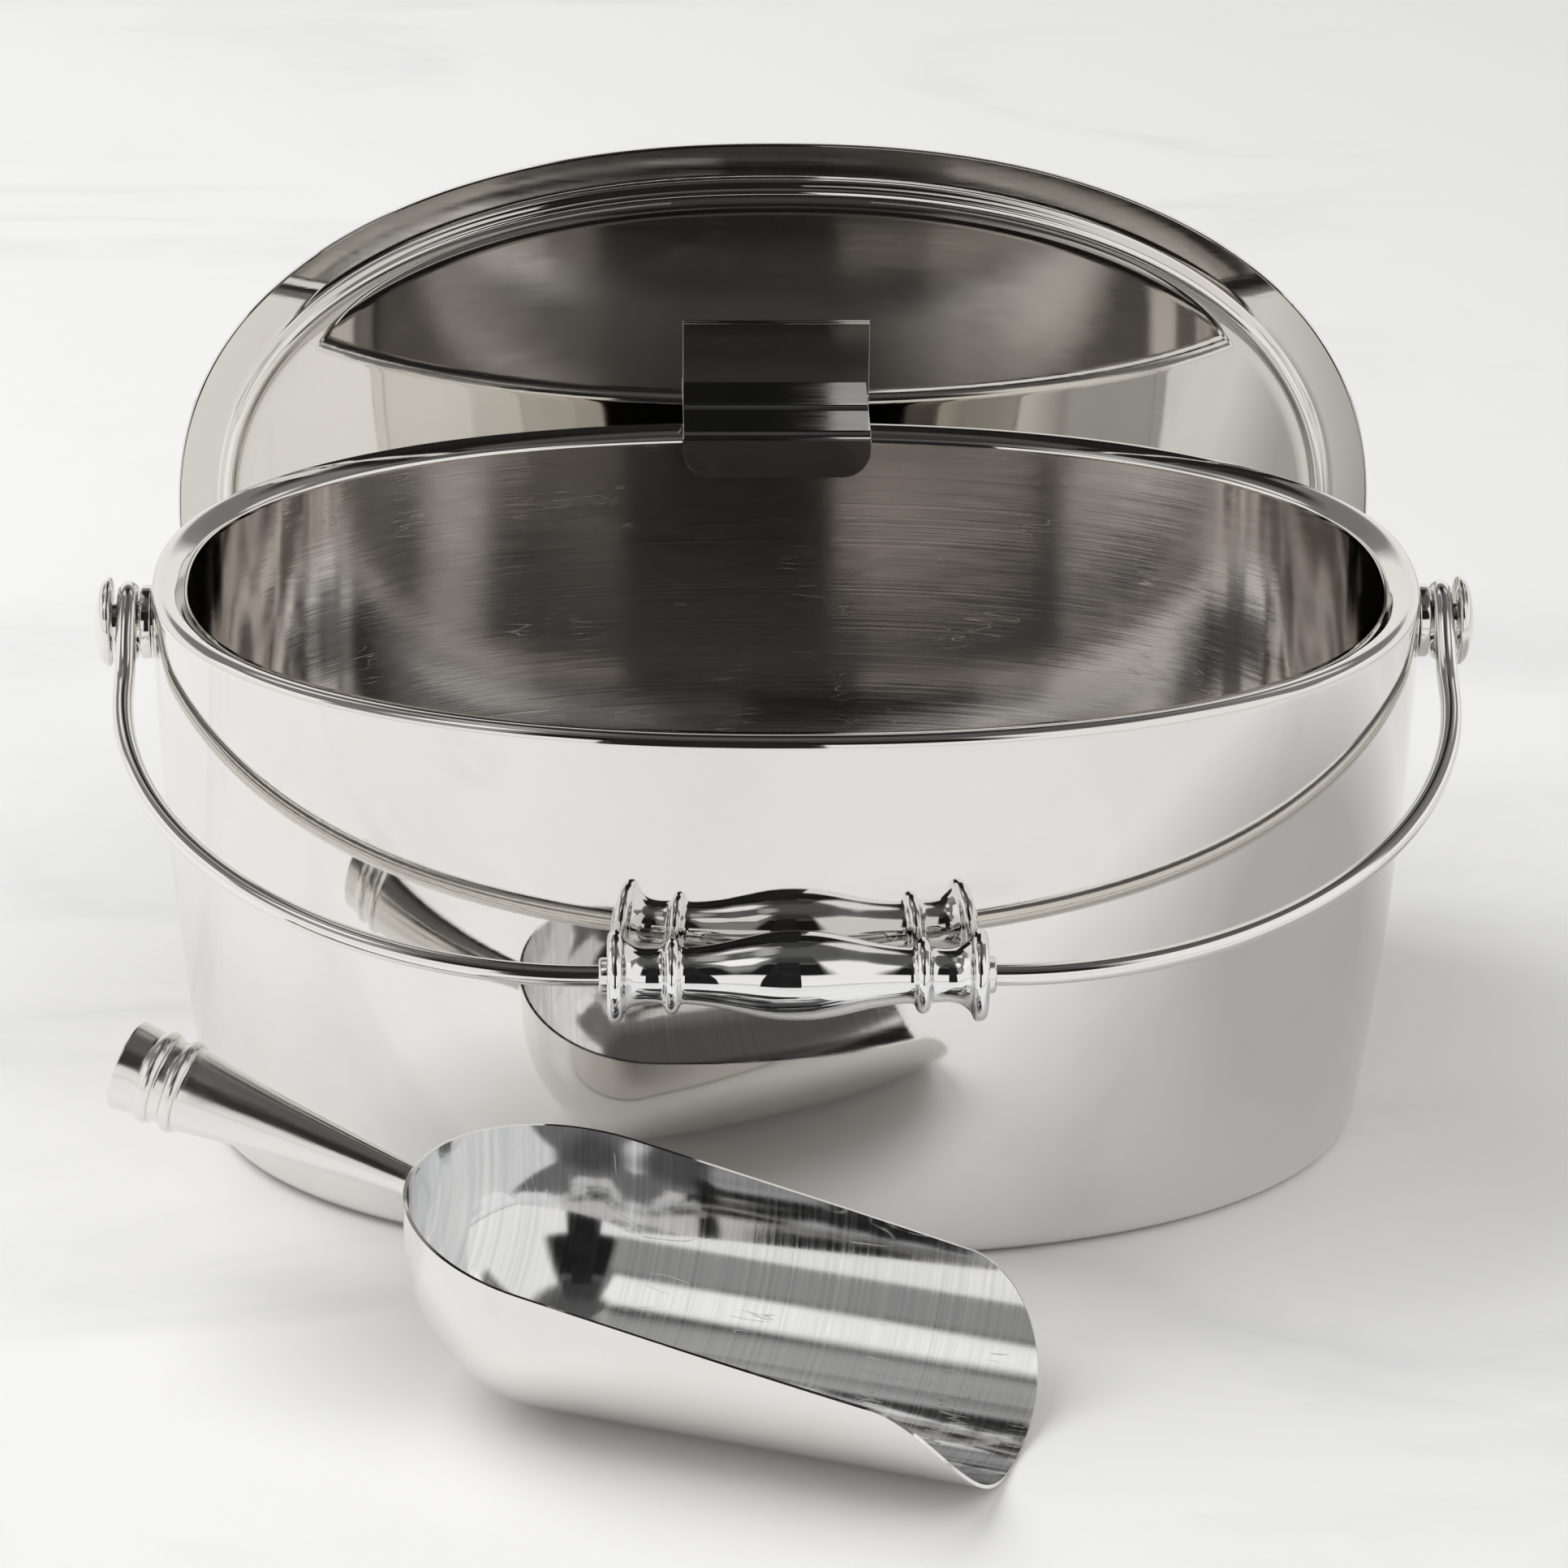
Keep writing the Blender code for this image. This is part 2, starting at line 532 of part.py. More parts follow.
def lid_hook(frame):
    """A strip welded flat under the lid, bent out over the rim and down inside the bucket."""
    panel = LID_PANEL_DEPTH + CLEARANCE
    far = HOOK_REACH + HOOK_SHEET
    low = HOOK_BRIDGE - HOOK_TONGUE + HOOK_SHEET
    outline = [(HOOK_WELD_TOP, panel), (HOOK_BRIDGE, panel), (HOOK_BRIDGE, HOOK_REACH),
               (low + HOOK_CORNER, HOOK_REACH)]
    back = [(low + HOOK_CORNER, far), (HOOK_BRIDGE + HOOK_SHEET, far),
            (HOOK_BRIDGE + HOOK_SHEET, panel + HOOK_SHEET), (HOOK_WELD_TOP, panel + HOOK_SHEET)]
    bm = bmesh.new()
    rows = []
    for x in (-HOOK_HALF_WIDTH, HOOK_HALF_WIDTH):
        rows.append([bm.verts.new((x, -up, -out)) for up, out in outline + back])
    bridge(bm, rows[0][:4], rows[1][:4], wrap=False)
    bridge(bm, rows[0][4:], rows[1][4:], wrap=False)
    bm.faces.new((rows[0][0], rows[1][0], rows[1][7], rows[0][7]))
    for row in rows:
        for near in range(3):
            bm.faces.new((row[near], row[near + 1], row[6 - near], row[7 - near]))
    rounded = arc(-HOOK_HALF_WIDTH + HOOK_CORNER, 0, HOOK_CORNER, 180, 270, 4)
    rounded += arc(HOOK_HALF_WIDTH - HOOK_CORNER, 0, HOOK_CORNER, 270, 360, 4)
    ends = []
    for row_near, out in ((3, HOOK_REACH), (4, far)):
        end = [rows[0][row_near]]
        end += [bm.verts.new((x, -(low + HOOK_CORNER + up), -out)) for x, up in rounded[1:-1]]
        end.append(rows[1][row_near])
        bm.faces.new(end)
        ends.append(end)
    bridge(bm, ends[0], ends[1], wrap=False)
    node("lid_hook", bm, STEEL, frame)


def lid_handle(frame):
    """A bent rod with a turned grip, held by a nut inside the lid at each end."""
    foot_height = dome_height(LID_HANDLE_HALF / (RIM_HALF_LENGTH - LID_FLANGE_WIDTH)) + CLEARANCE
    end_height = foot_height - LID_ROD_END_DEPTH
    side = [(LID_HANDLE_HALF, end_height)]
    side += arc(LID_HANDLE_HALF - LID_HANDLE_CORNER, LID_HANDLE_RISE - LID_HANDLE_CORNER,
                LID_HANDLE_CORNER, 0, 90, 6)
    points = [Vector((x, 0, z)) for x, z in side]
    points += [Vector((-x, 0, z)) for x, z in side[::-1]]
    wire("lid_handle_rod", points, WIRE_RADIUS, STEEL, frame)

    hole = WIRE_RADIUS + CLEARANCE
    half = grip_profile(LID_GRIP_SCALE)
    end = GRIP_HALF_LENGTH * LID_GRIP_SCALE
    grip = turned(mirrored(half) + [(end, hole), (-end, hole)], GRIP_STEPS,
                  Matrix.Translation((0, 0, LID_HANDLE_RISE)), bored=True)
    node("lid_handle_grip", grip, CHROME, frame)

    foot = [(height * MM, FOOT_RADIUS - drop * MM) for height, drop in FOOT_OUTLINE_MM]
    foot = [(foot[0][0], hole)] + foot + [(foot[-1][0], hole)]
    nut = hexagon_nut(0, HANDLE_NUT_THICKNESS, HANDLE_NUT_RADIUS, hole)
    upright = Matrix.Rotation(-math.pi / 2, 4, "Y")
    for name, sign in SIDES:
        at_rod = Matrix.Translation((sign * LID_HANDLE_HALF, 0, 0))
        place = at_rod @ Matrix.Translation((0, 0, foot_height + FOOT_LIFT)) @ upright
        node(name + "_handle_foot", turned(foot, GRIP_STEPS, place, bored=True), STEEL, frame)
        place = at_rod @ Matrix.Translation((0, 0, end_height + HANDLE_NUT_LIFT)) @ upright
        node(name + "_handle_nut", turned(nut, 6, place, bored=True), ZINC_STEEL, frame)


def lid():
    frame = empty("lid_frame", LID_CENTRE, (-math.radians(90 + LID_TILT_DEG), 0, 0))
    lid_pan(frame)
    lid_cover(frame)
    lid_hook(frame)
    lid_handle(frame)


def scoop_rim_height(along):
    """Height of the scoop's side walls: a steep round lip, then a gentle straight rise."""
    if along < SCOOP_LIP_LENGTH:
        share = 1 - along / SCOOP_LIP_LENGTH
        return SCOOP_LIP_HEIGHT * (1 - share ** SCOOP_LIP_ROUNDNESS) ** SCOOP_LIP_BLUNTNESS
    run = SCOOP_BACK_CENTRE + SCOOP_RADIUS - SCOOP_LIP_LENGTH
    rise = (SCOOP_BACK_HEIGHT - SCOOP_LIP_HEIGHT) / run
    return SCOOP_LIP_HEIGHT + rise * (along - SCOOP_LIP_LENGTH)


def scoop_section_point(share, rim_height, inset):
    """Half of the U section: share runs from the bottom to the rim. Gives (outwards, up)."""
    radius = SCOOP_RADIUS
    quarter = radius * math.pi / 2
    if rim_height < radius:
        length = radius * math.acos(1 - rim_height / radius)
    else:
        length = quarter + rim_height - radius
    reach = share * length
    if reach < quarter:
        angle = reach / radius
        inner = radius - inset
        return inner * math.sin(angle), radius - inner * math.cos(angle)
    return radius - inset, radius + reach - quarter


def scoop_stations():
    """(along, turn) of each section: up the near side, round the back, down the far side."""
    side = [SCOOP_LIP_LENGTH * share for share in SCOOP_LIP_STARTS]
    step = (SCOOP_BACK_CENTRE - SCOOP_LIP_LENGTH) / SCOOP_SIDE_STEPS
    side += [SCOOP_LIP_LENGTH + step * i for i in range(1, SCOOP_SIDE_STEPS)]
    stations = [(along, -90) for along in side]
    for i in range(SCOOP_BACK_STEPS + 1):
        stations.append((SCOOP_BACK_CENTRE, -90 + 180 * i / SCOOP_BACK_STEPS))
    stations += [(along, 90) for along in side[::-1]]
    return stations


def scoop_skin(bm, inset):
    """One face of the bowl as columns of vertices from the bottom to the rim."""
    columns = []
    for along, turn in scoop_stations():
        angle = math.radians(turn)
        rim = scoop_rim_height(along + SCOOP_RADIUS * math.cos(angle))
        column = []
        for i in range(SCOOP_ROWS + 1):
            out, up = scoop_section_point(i / SCOOP_ROWS, rim, inset)
            column.append(bm.verts.new((along + out * math.cos(angle), out * math.sin(angle), up)))
        columns.append(column)
    for first, second in zip(columns, columns[1:]):
        bridge(bm, first, second, wrap=False)
    return [column[-1] for column in columns]


def scoop_bowl(frame):
    bm = bmesh.new()
    outer_rim = scoop_skin(bm, 0)
    inner_rim = scoop_skin(bm, SCOOP_SHEET)
    bridge(bm, outer_rim, inner_rim, wrap=False)
    bmesh.ops.remove_doubles(bm, verts=bm.verts, dist=SCOOP_WELD_DISTANCE)
    bmesh.ops.dissolve_degenerate(bm, edges=bm.edges, dist=SCOOP_WELD_DISTANCE)
    bmesh.ops.triangulate(bm, faces=bm.faces)
    node("scoop_bowl", bm, STEEL, frame)


def scoop_handle(frame):
    """A tapered tube with two raised beads near its end, closed by a flat cap."""
    start = SCOOP_BACK_CENTRE + SCOOP_RADIUS + SCOOP_HANDLE_GAP
    tilt = Matrix.Rotation(-math.radians(SCOOP_HANDLE_RISE_DEG), 4, "Y")
    place = Matrix.Translation((start, 0, SCOOP_HANDLE_HEIGHT)) @ tilt
    end = SCOOP_HANDLE_LENGTH
    crest = SCOOP_END_RADIUS + SCOOP_BEAD_RISE
    band = (end - SCOOP_BAND_LENGTH, SCOOP_END_RADIUS - SCOOP_BAND_STEP)
    outside = [(0, SCOOP_NECK_RADIUS), band]
    for distance in SCOOP_BEADS:
        centre = end - distance
        outside.append((centre - SCOOP_BEAD_HALF_WIDTH, SCOOP_END_RADIUS))
        outside.append((centre - SCOOP_BEAD_CREST, crest))
        outside.append((centre + SCOOP_BEAD_CREST, crest))
        outside.append((centre + SCOOP_BEAD_HALF_WIDTH, SCOOP_END_RADIUS))
    outside.append((end, SCOOP_END_RADIUS + SCOOP_END_FLARE))
    inside = [(end, SCOOP_END_RADIUS - SCOOP_SHEET),
              (band[0], band[1] - SCOOP_SHEET),
              (0, SCOOP_NECK_RADIUS - SCOOP_SHEET)]
    tube = turned(outside + inside, SCOOP_HANDLE_STEPS, place, bored=True)
    node("scoop_handle", tube, STEEL, frame)
    cap_radius = SCOOP_END_RADIUS - SCOOP_SHEET - CLEARANCE
    cap = [(end - SCOOP_CAP_THICKNESS, cap_radius),
           (end - SCOOP_CAP_CHAMFER, cap_radius),
           (end, cap_radius - SCOOP_CAP_DROP)]
    node("scoop_end_cap", turned(cap, SCOOP_HANDLE_STEPS, place), STEEL, frame)


def scoop():
    frame = empty("scoop_frame", SCOOP_LIP, (0, 0, math.radians(SCOOP_HEADING_DEG)))
    scoop_bowl(frame)
    scoop_handle(frame)


clear_scene()
outer_shell()
inner_liner()
for side_name, side_sign in SIDES:
    pivot(side_name, side_sign)
bail()
lid()
scoop()
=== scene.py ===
"""Looks for the oval ice bucket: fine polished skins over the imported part, in a pale studio.

Metres, +Z up. The origin is the centre of the bucket's flat base, +X runs along its long axis
and -Y is the front, where the bail hangs down.
"""
import math

import bmesh
import bpy
from mathutils import Matrix, Vector


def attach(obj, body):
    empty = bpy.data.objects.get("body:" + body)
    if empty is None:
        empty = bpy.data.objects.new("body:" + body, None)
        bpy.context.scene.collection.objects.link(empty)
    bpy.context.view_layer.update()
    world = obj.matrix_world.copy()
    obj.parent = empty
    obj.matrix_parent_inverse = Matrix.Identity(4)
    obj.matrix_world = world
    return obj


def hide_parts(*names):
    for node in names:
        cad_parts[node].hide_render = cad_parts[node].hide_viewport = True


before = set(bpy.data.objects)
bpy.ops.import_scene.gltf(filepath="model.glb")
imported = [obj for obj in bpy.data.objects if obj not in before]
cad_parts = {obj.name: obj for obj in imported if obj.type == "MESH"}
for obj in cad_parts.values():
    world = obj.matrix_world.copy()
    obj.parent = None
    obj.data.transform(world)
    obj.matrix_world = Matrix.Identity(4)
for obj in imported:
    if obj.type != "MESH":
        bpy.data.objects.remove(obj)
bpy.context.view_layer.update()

MM = 0.001
MICRON = 0.000001
SHARP_DEG = 40
TURNED_STEPS = 96
SIDES = (("left", -1), ("right", 1))

# Oval
OVAL_EXPONENT = 2.25
OVAL_STEPS = 320

# Bucket
RIM_HALF_LENGTH = 180 * MM
RIM_HALF_WIDTH = 119 * MM
BUCKET_HEIGHT = 166 * MM
SHEET = 1.0 * MM
WALL_SPACING = 10.5 * MM
SEAM_HEIGHT = 161.5 * MM
TAPER = 10.1 * MM
TAPER_DEPTH = 150 * MM
BASE_ROUNDING = 7.5 * MM
LINER_FLOOR = 12 * MM
LINER_ROUNDING = 20 * MM
RIM_ROUNDING = 3 * MM
RIM_DROP = 3.2 * MM
WALL_STEPS = 36
# The rim's slope from the liner's edge to its crest: inset, depth below the crest
RIM_SLOPE_MM = ((10.5, 3.2), (10.25, 2.45), (9.6, 1.95), (8.6, 1.5), (7.2, 0.95), (5.6, 0.42),
                (4.2, 0.1))
# The rim's underside: inset, depth below the crest
RIM_UNDER_MM = ((6.0, 1.5), (8.2, 2.5))
RIM_STEPS = 18
RIM_UNDER_STEPS = 6
RIM_LIP = 0.7 * MM
LINER_WALL_GAP = 0.6 * MM
CORNER_STEPS = 14

# Pivots
PIVOT_HEIGHT = 150 * MM
COLLAR_X = 180.35 * MM
COLLAR_THICKNESS = 3.0 * MM
COLLAR_RADIUS = 10.5 * MM
THREAD_RADIUS = 4.0 * MM
THREAD_END = 171.6 * MM
THREAD_CHAMFER = 0.8 * MM
COLLAR_HOLE_GAP = 0.3 * MM
COLLAR_EDGE = 0.5 * MM
EDGE_STEPS = 4
SHANK_X = 183.65 * MM
SHANK_RADIUS = 5.5 * MM
SHANK_LENGTH = 7.7 * MM
HEAD_RADIUS = 12.8 * MM
HEAD_DOME = 3.45 * MM
HEAD_STEPS = 20
# The edge of the stud's head: along from its back, depth below its radius
HEAD_EDGE_MM = ((0, 2.2), (0.25, 0.7), (0.6, 0.15), (1.0, 0), (1.5, 0.1), (1.85, 0.7))

# Bail
WIRE_RADIUS = 3.0 * MM
EYE_X = 187 * MM
EYE_RADIUS = 8.6 * MM
EYE_START_DEG = -24
EYE_END_DEG = -280
BAIL_NECK_LEAD = 9 * MM
BAIL_NECK_PULL = 18 * MM
BAIL_NECK_END = 28 * MM
BAIL_LENGTH = 138.6 * MM
BAIL_STEM_END = 30 * MM
BAIL_STRAIGHT_HALF = 55 * MM
BAIL_REST_DEG = 20.5
EYE_STEPS = 64
BAIL_NECK_STEPS = 16
BAIL_CORNER_STEPS = 72
WIRE_SIDES = 32
WIRE_END_ROUNDING = 0.6 * MM

# Grip: along, radius, in mm, from the middle to the end face
GRIP_HALF_MM = ((0, 12.2), (5, 12.0), (10, 11.25), (15, 10.15), (20, 9.0), (25, 8.15), (29, 7.7),
                (31.2, 7.75), (31.7, 8.4), (32.3, 9.7), (33.8, 10.4), (35.3, 9.7), (35.9, 8.4), (36.4, 7.7),
                (38.5, 7.35), (41.5, 7.35), (44.0, 8.0), (45.8, 9.3), (46.6, 10.2), (47.0, 11.3),
                (47.8, 12.3), (48.9, 12.6), (50.0, 12.3), (50.9, 11.4), (51.2, 10.4))
GRIP_BORE_MM = ((51.2, 5.3), (45.9, 5.3), (45.9, 3.6))
GRIP_STEPS = 128
BUSH_STEPS = 64
BUSH_MM = ((46.2, 3.08), (46.2, 5.0), (52.6, 5.0), (53.15, 4.75), (53.4, 4.3), (53.4, 3.08))

# Lid
LID_OVERHANG = 2.2 * MM
LID_TILT_DEG = -2
LID_CENTRE = Vector((0, 131.14 * MM, 130.46 * MM))
LID_SHEET = 0.8 * MM
LID_HEM = 0.6 * MM
LID_GAP = 0.3 * MM
LID_PANEL_INSET = 22.5 * MM
LID_PANEL_DEPTH = 3.0 * MM
LID_FLANGE_WIDTH = 12 * MM
LID_BRIM_DROP = 2.4 * MM
# The pan's underside: inset, depth below the flange
LID_UNDER_MM = ((22.5, 3.0), (21.0, 3.1), (19.2, 3.4), (17.6, 3.9), (16.4, 4.6), (15.4, 4.9), (14.5, 4.8),
                (13.8, 4.3), (13.3, 3.3), (13.0, 1.9), (12.75, 0.8), (12.3, 0.15), (11.6, 0.08))
# The pan's inner face, between the walls: inset, height
LID_INSIDE_MM = ((13.8, -0.2), (14.2, -3.0), (15.2, -3.9), (16.4, -3.6), (18.4, -2.7))
LID_BRIM_INSETS_MM = (10, 8, 6, 4, 2)
# The cover's hem round the pan's edge: inset, height
LID_HEM_MM = ((0.6, 1.2), (0.6, 0.15), (0.45, 0), (0.2, 0.05), (0, 0.3), (0, 1.1), (0.15, 1.6), (0.5, 1.9),
              (1.1, 2.0), (4, 2.0), (8, 2.0), (11, 2.0))
LID_DOME_STEPS = 24
LID_DOME_CROWDING = 1.25
LID_DOME_SPAN = 0.96
LID_TOP_FLANGE = 2.0 * MM
LID_DOME_RISE = 13 * MM
HOOK_HALF_WIDTH = 28.2 * MM
HOOK_SHEET = 1.0 * MM
HOOK_BRIDGE = 36.35 * MM
HOOK_WELD_TOP = 64.5 * MM
HOOK_REACH = 24.0 * MM
HOOK_TONGUE = 14.5 * MM
HOOK_CORNER = 8.5 * MM
HOOK_BEND = 1.3 * MM
HOOK_EDGE = 0.15 * MM
HOOK_BEND_STEPS = 8
HOOK_TIP_STEPS = 20
HOOK_BEVEL = 0.12 * MM
HOOK_BEVEL_STEPS = 2
HOOK_BEVEL_DEG = 60
HANDLE_HALF = 60 * MM
HANDLE_RISE = 42 * MM
HANDLE_CORNER = 9 * MM
HANDLE_ROD_END = 5.2 * MM
HANDLE_CORNER_STEPS = 24
HANDLE_GRIP_SCALE = 0.84
FOOT_LIFT = 1.2 * MM
# The foot's outline: height, radius
FOOT_MM = ((0, 3.3), (0, 9.0), (0.6, 9.0), (1.1, 8.6), (1.6, 7.4), (2.4, 5.8), (3.4, 4.9), (4.0, 4.5),
           (4.0, 3.3))

# Scoop
SCOOP_LIP = Vector((55.5 * MM, -216 * MM, 0))
SCOOP_HEADING_DEG = 160
SCOOP_RADIUS = 46 * MM
SCOOP_SHEET = 1.0 * MM
SCOOP_BACK_CENTRE = 122 * MM
SCOOP_BACK_HEIGHT = 60 * MM
SCOOP_LIP_HEIGHT = 37 * MM
SCOOP_LIP_LENGTH = 28 * MM
SCOOP_LIP_ROUNDNESS = 1.8
SCOOP_LIP_BLUNTNESS = 0.62
SCOOP_LIP_CROWDING = 2.2
SCOOP_LIP_STEPS = 26
SCOOP_SIDE_STEPS = 26
SCOOP_BACK_STEPS = 56
SCOOP_ROWS = 44
SCOOP_MERGE = 0.02 * MM
SCOOP_HANDLE_HEIGHT = 54.4 * MM
SCOOP_HANDLE_RISE_DEG = 14.5
SCOOP_HANDLE_GAP = 1.6 * MM
# The handle's outline: along, radius
SCOOP_HANDLE_MM = ((-1.7, 4.9), (0.5, 4.6), (6, 4.95), (20, 6.25), (40, 8.3), (55, 10.2), (64, 11.55),
                   (65.6, 11.7), (66.0, 12.5), (67.5, 13.1), (69.0, 12.5), (69.6, 11.75), (71.0, 11.6),
                   (72.4, 11.75), (73.0, 12.5), (74.5, 13.1), (76.2, 12.5), (77.0, 11.9), (79.0, 12.0),
                   (83.2, 12.5), (83.8, 12.45), (84.0, 12.2))
SCOOP_HANDLE_INSIDE_MM = ((84.0, 11.0), (64, 10.6), (0, 3.6))
SCOOP_CAP_MM = ((81.5, 10.7), (83.2, 10.7), (83.6, 10.5), (83.8, 10.0), (83.9, 8.0), (83.9, 0.4))


# ---------------------------------------------------------------- mesh tools

def smooth_line(points, steps=6):
    """A Catmull-Rom line through the points. A point given twice in a row is a sharp corner."""
    points = [Vector(p) for p in points]
    line = [points[0]]
    for i in range(len(points) - 1):
        a, b = points[i], points[i + 1]
        if (b - a).length < 1e-9:
            continue
        before = points[i - 1] if i > 0 else a
        after = points[i + 2] if i + 2 < len(points) else b
        chord = (b - a).length
        tangent_a = (b - before).normalized() * chord if (a - before).length > 1e-9 else b - a
        tangent_b = (after - a).normalized() * chord if (after - b).length > 1e-9 else b - a
        for k in range(1, steps + 1):
            t = k / steps
            t2, t3 = t * t, t * t * t
            line.append(a * (2 * t3 - 3 * t2 + 1) + tangent_a * (t3 - 2 * t2 + t)
                        + b * (3 * t2 - 2 * t3) + tangent_b * (t3 - t2))
    return line


def arc(centre_a, centre_b, radius, start_deg, end_deg, steps):
    points = []
    for i in range(steps + 1):
        angle = math.radians(start_deg + (end_deg - start_deg) * i / steps)
        points.append((centre_a + radius * math.cos(angle), centre_b + radius * math.sin(angle)))
    return points


def smooth_outline(outline, steps=5):
    """A smooth line through (first, second) pairs."""
    return [tuple(point)[:2] for point in smooth_line([(a, b, 0) for a, b in outline], steps)]


def grid_mesh(name, rings, wrap=True, loop=False):
    """Join rows of points with quads. wrap closes each row, loop joins the last row to the first."""
    rows, columns = len(rings), len(rings[0])
    verts = [tuple(p) for ring in rings for p in ring]
    faces = []
    for r in range(rows if loop else rows - 1):
        s = (r + 1) % rows
        for c in range(columns if wrap else columns - 1):
            d = (c + 1) % columns
            faces.append((r * columns + c, r * columns + d, s * columns + d, s * columns + c))
    if wrap and not loop:
        faces.append(tuple(range(columns))[::-1])
        faces.append(tuple((rows - 1) * columns + c for c in range(columns)))
    mesh = bpy.data.meshes.new(name)
    mesh.from_pydata(verts, [], faces)
    mesh.update()
    return mesh


def piece(name, mesh, body, replaced, finish, place=None):
    """Make a mesh one visible piece that rides on a body and stands for its CAD node."""
    bm = bmesh.new()
    bm.from_mesh(mesh)
    bmesh.ops.recalc_face_normals(bm, faces=bm.faces)
    bm.to_mesh(mesh)
    bm.free()
    mesh.materials.append(finish)
    mesh.shade_smooth()
    mesh.set_sharp_from_angle(angle=math.radians(SHARP_DEG))
    obj = bpy.data.objects.new(name, mesh)
    bpy.context.collection.objects.link(obj)
    if place is not None:
        obj.matrix_world = place
    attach(obj, body)
    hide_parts(replaced)
    return obj


def oval_point(angle, half_length, half_width, inset):
    """A point of the oval, moved inwards along the oval's normal by the inset."""
    power = 2 / OVAL_EXPONENT
    c, s = math.cos(angle), math.sin(angle)
    u = math.copysign(abs(c) ** power, c)
    v = math.copysign(abs(s) ** power, s)
    nx = math.copysign(abs(u) ** (OVAL_EXPONENT - 1), u) / half_length
    ny = math.copysign(abs(v) ** (OVAL_EXPONENT - 1), v) / half_width
    length = math.hypot(nx, ny)
    return half_length * u - inset * nx / length, half_width * v - inset * ny / length


def oval_rings(half_length, half_width, section):
    """Ovals for the section's (inset, height) or (inset, height, shrink) entries."""
    rings = []
    for entry in section:
        inset, height = entry[0], entry[1]
        shrink = entry[2] if len(entry) > 2 else 1.0
        ring = []
        for i in range(OVAL_STEPS):
            x, y = oval_point(2 * math.pi * i / OVAL_STEPS, half_length, half_width, inset)
            ring.append((x * shrink, y * shrink, height))
        rings.append(ring)
    return rings


def turned_rings(outline, steps=TURNED_STEPS):
    """Turn (along, radius) pairs about local X."""
    angles = [2 * math.pi * i / steps for i in range(steps)]
    circle = [(math.cos(angle), math.sin(angle)) for angle in angles]
    return [[(along, radius * c, radius * s) for c, s in circle] for along, radius in outline]


def tube_mesh(name, path, radius):
    """A round wire along a path, with softened ends and a frame carried along without twist."""
    path = [Vector(p) for p in path]
    tangents = []
    for i in range(len(path)):
        tangents.append((path[min(i + 1, len(path) - 1)] - path[max(i - 1, 0)]).normalized())
    side = tangents[0].orthogonal().normalized()
    sections = []
    for i, point in enumerate(path):
        side = (side - tangents[i] * side.dot(tangents[i])).normalized()
        sections.append((point, side, tangents[i].cross(side), radius))
    first, last = sections[0], sections[-1]
    inner = radius - WIRE_END_ROUNDING
    sections.insert(0, (first[0] - tangents[0] * WIRE_END_ROUNDING, first[1], first[2], inner))
    sections.append((last[0] + tangents[-1] * WIRE_END_ROUNDING, last[1], last[2], inner))
    turns = [2 * math.pi * k / WIRE_SIDES for k in range(WIRE_SIDES)]
    rings = [[point + (a * math.cos(t) + b * math.sin(t)) * r for t in turns] for point, a, b, r in sections]
    return grid_mesh(name, rings)


# ---------------------------------------------------------------- materials

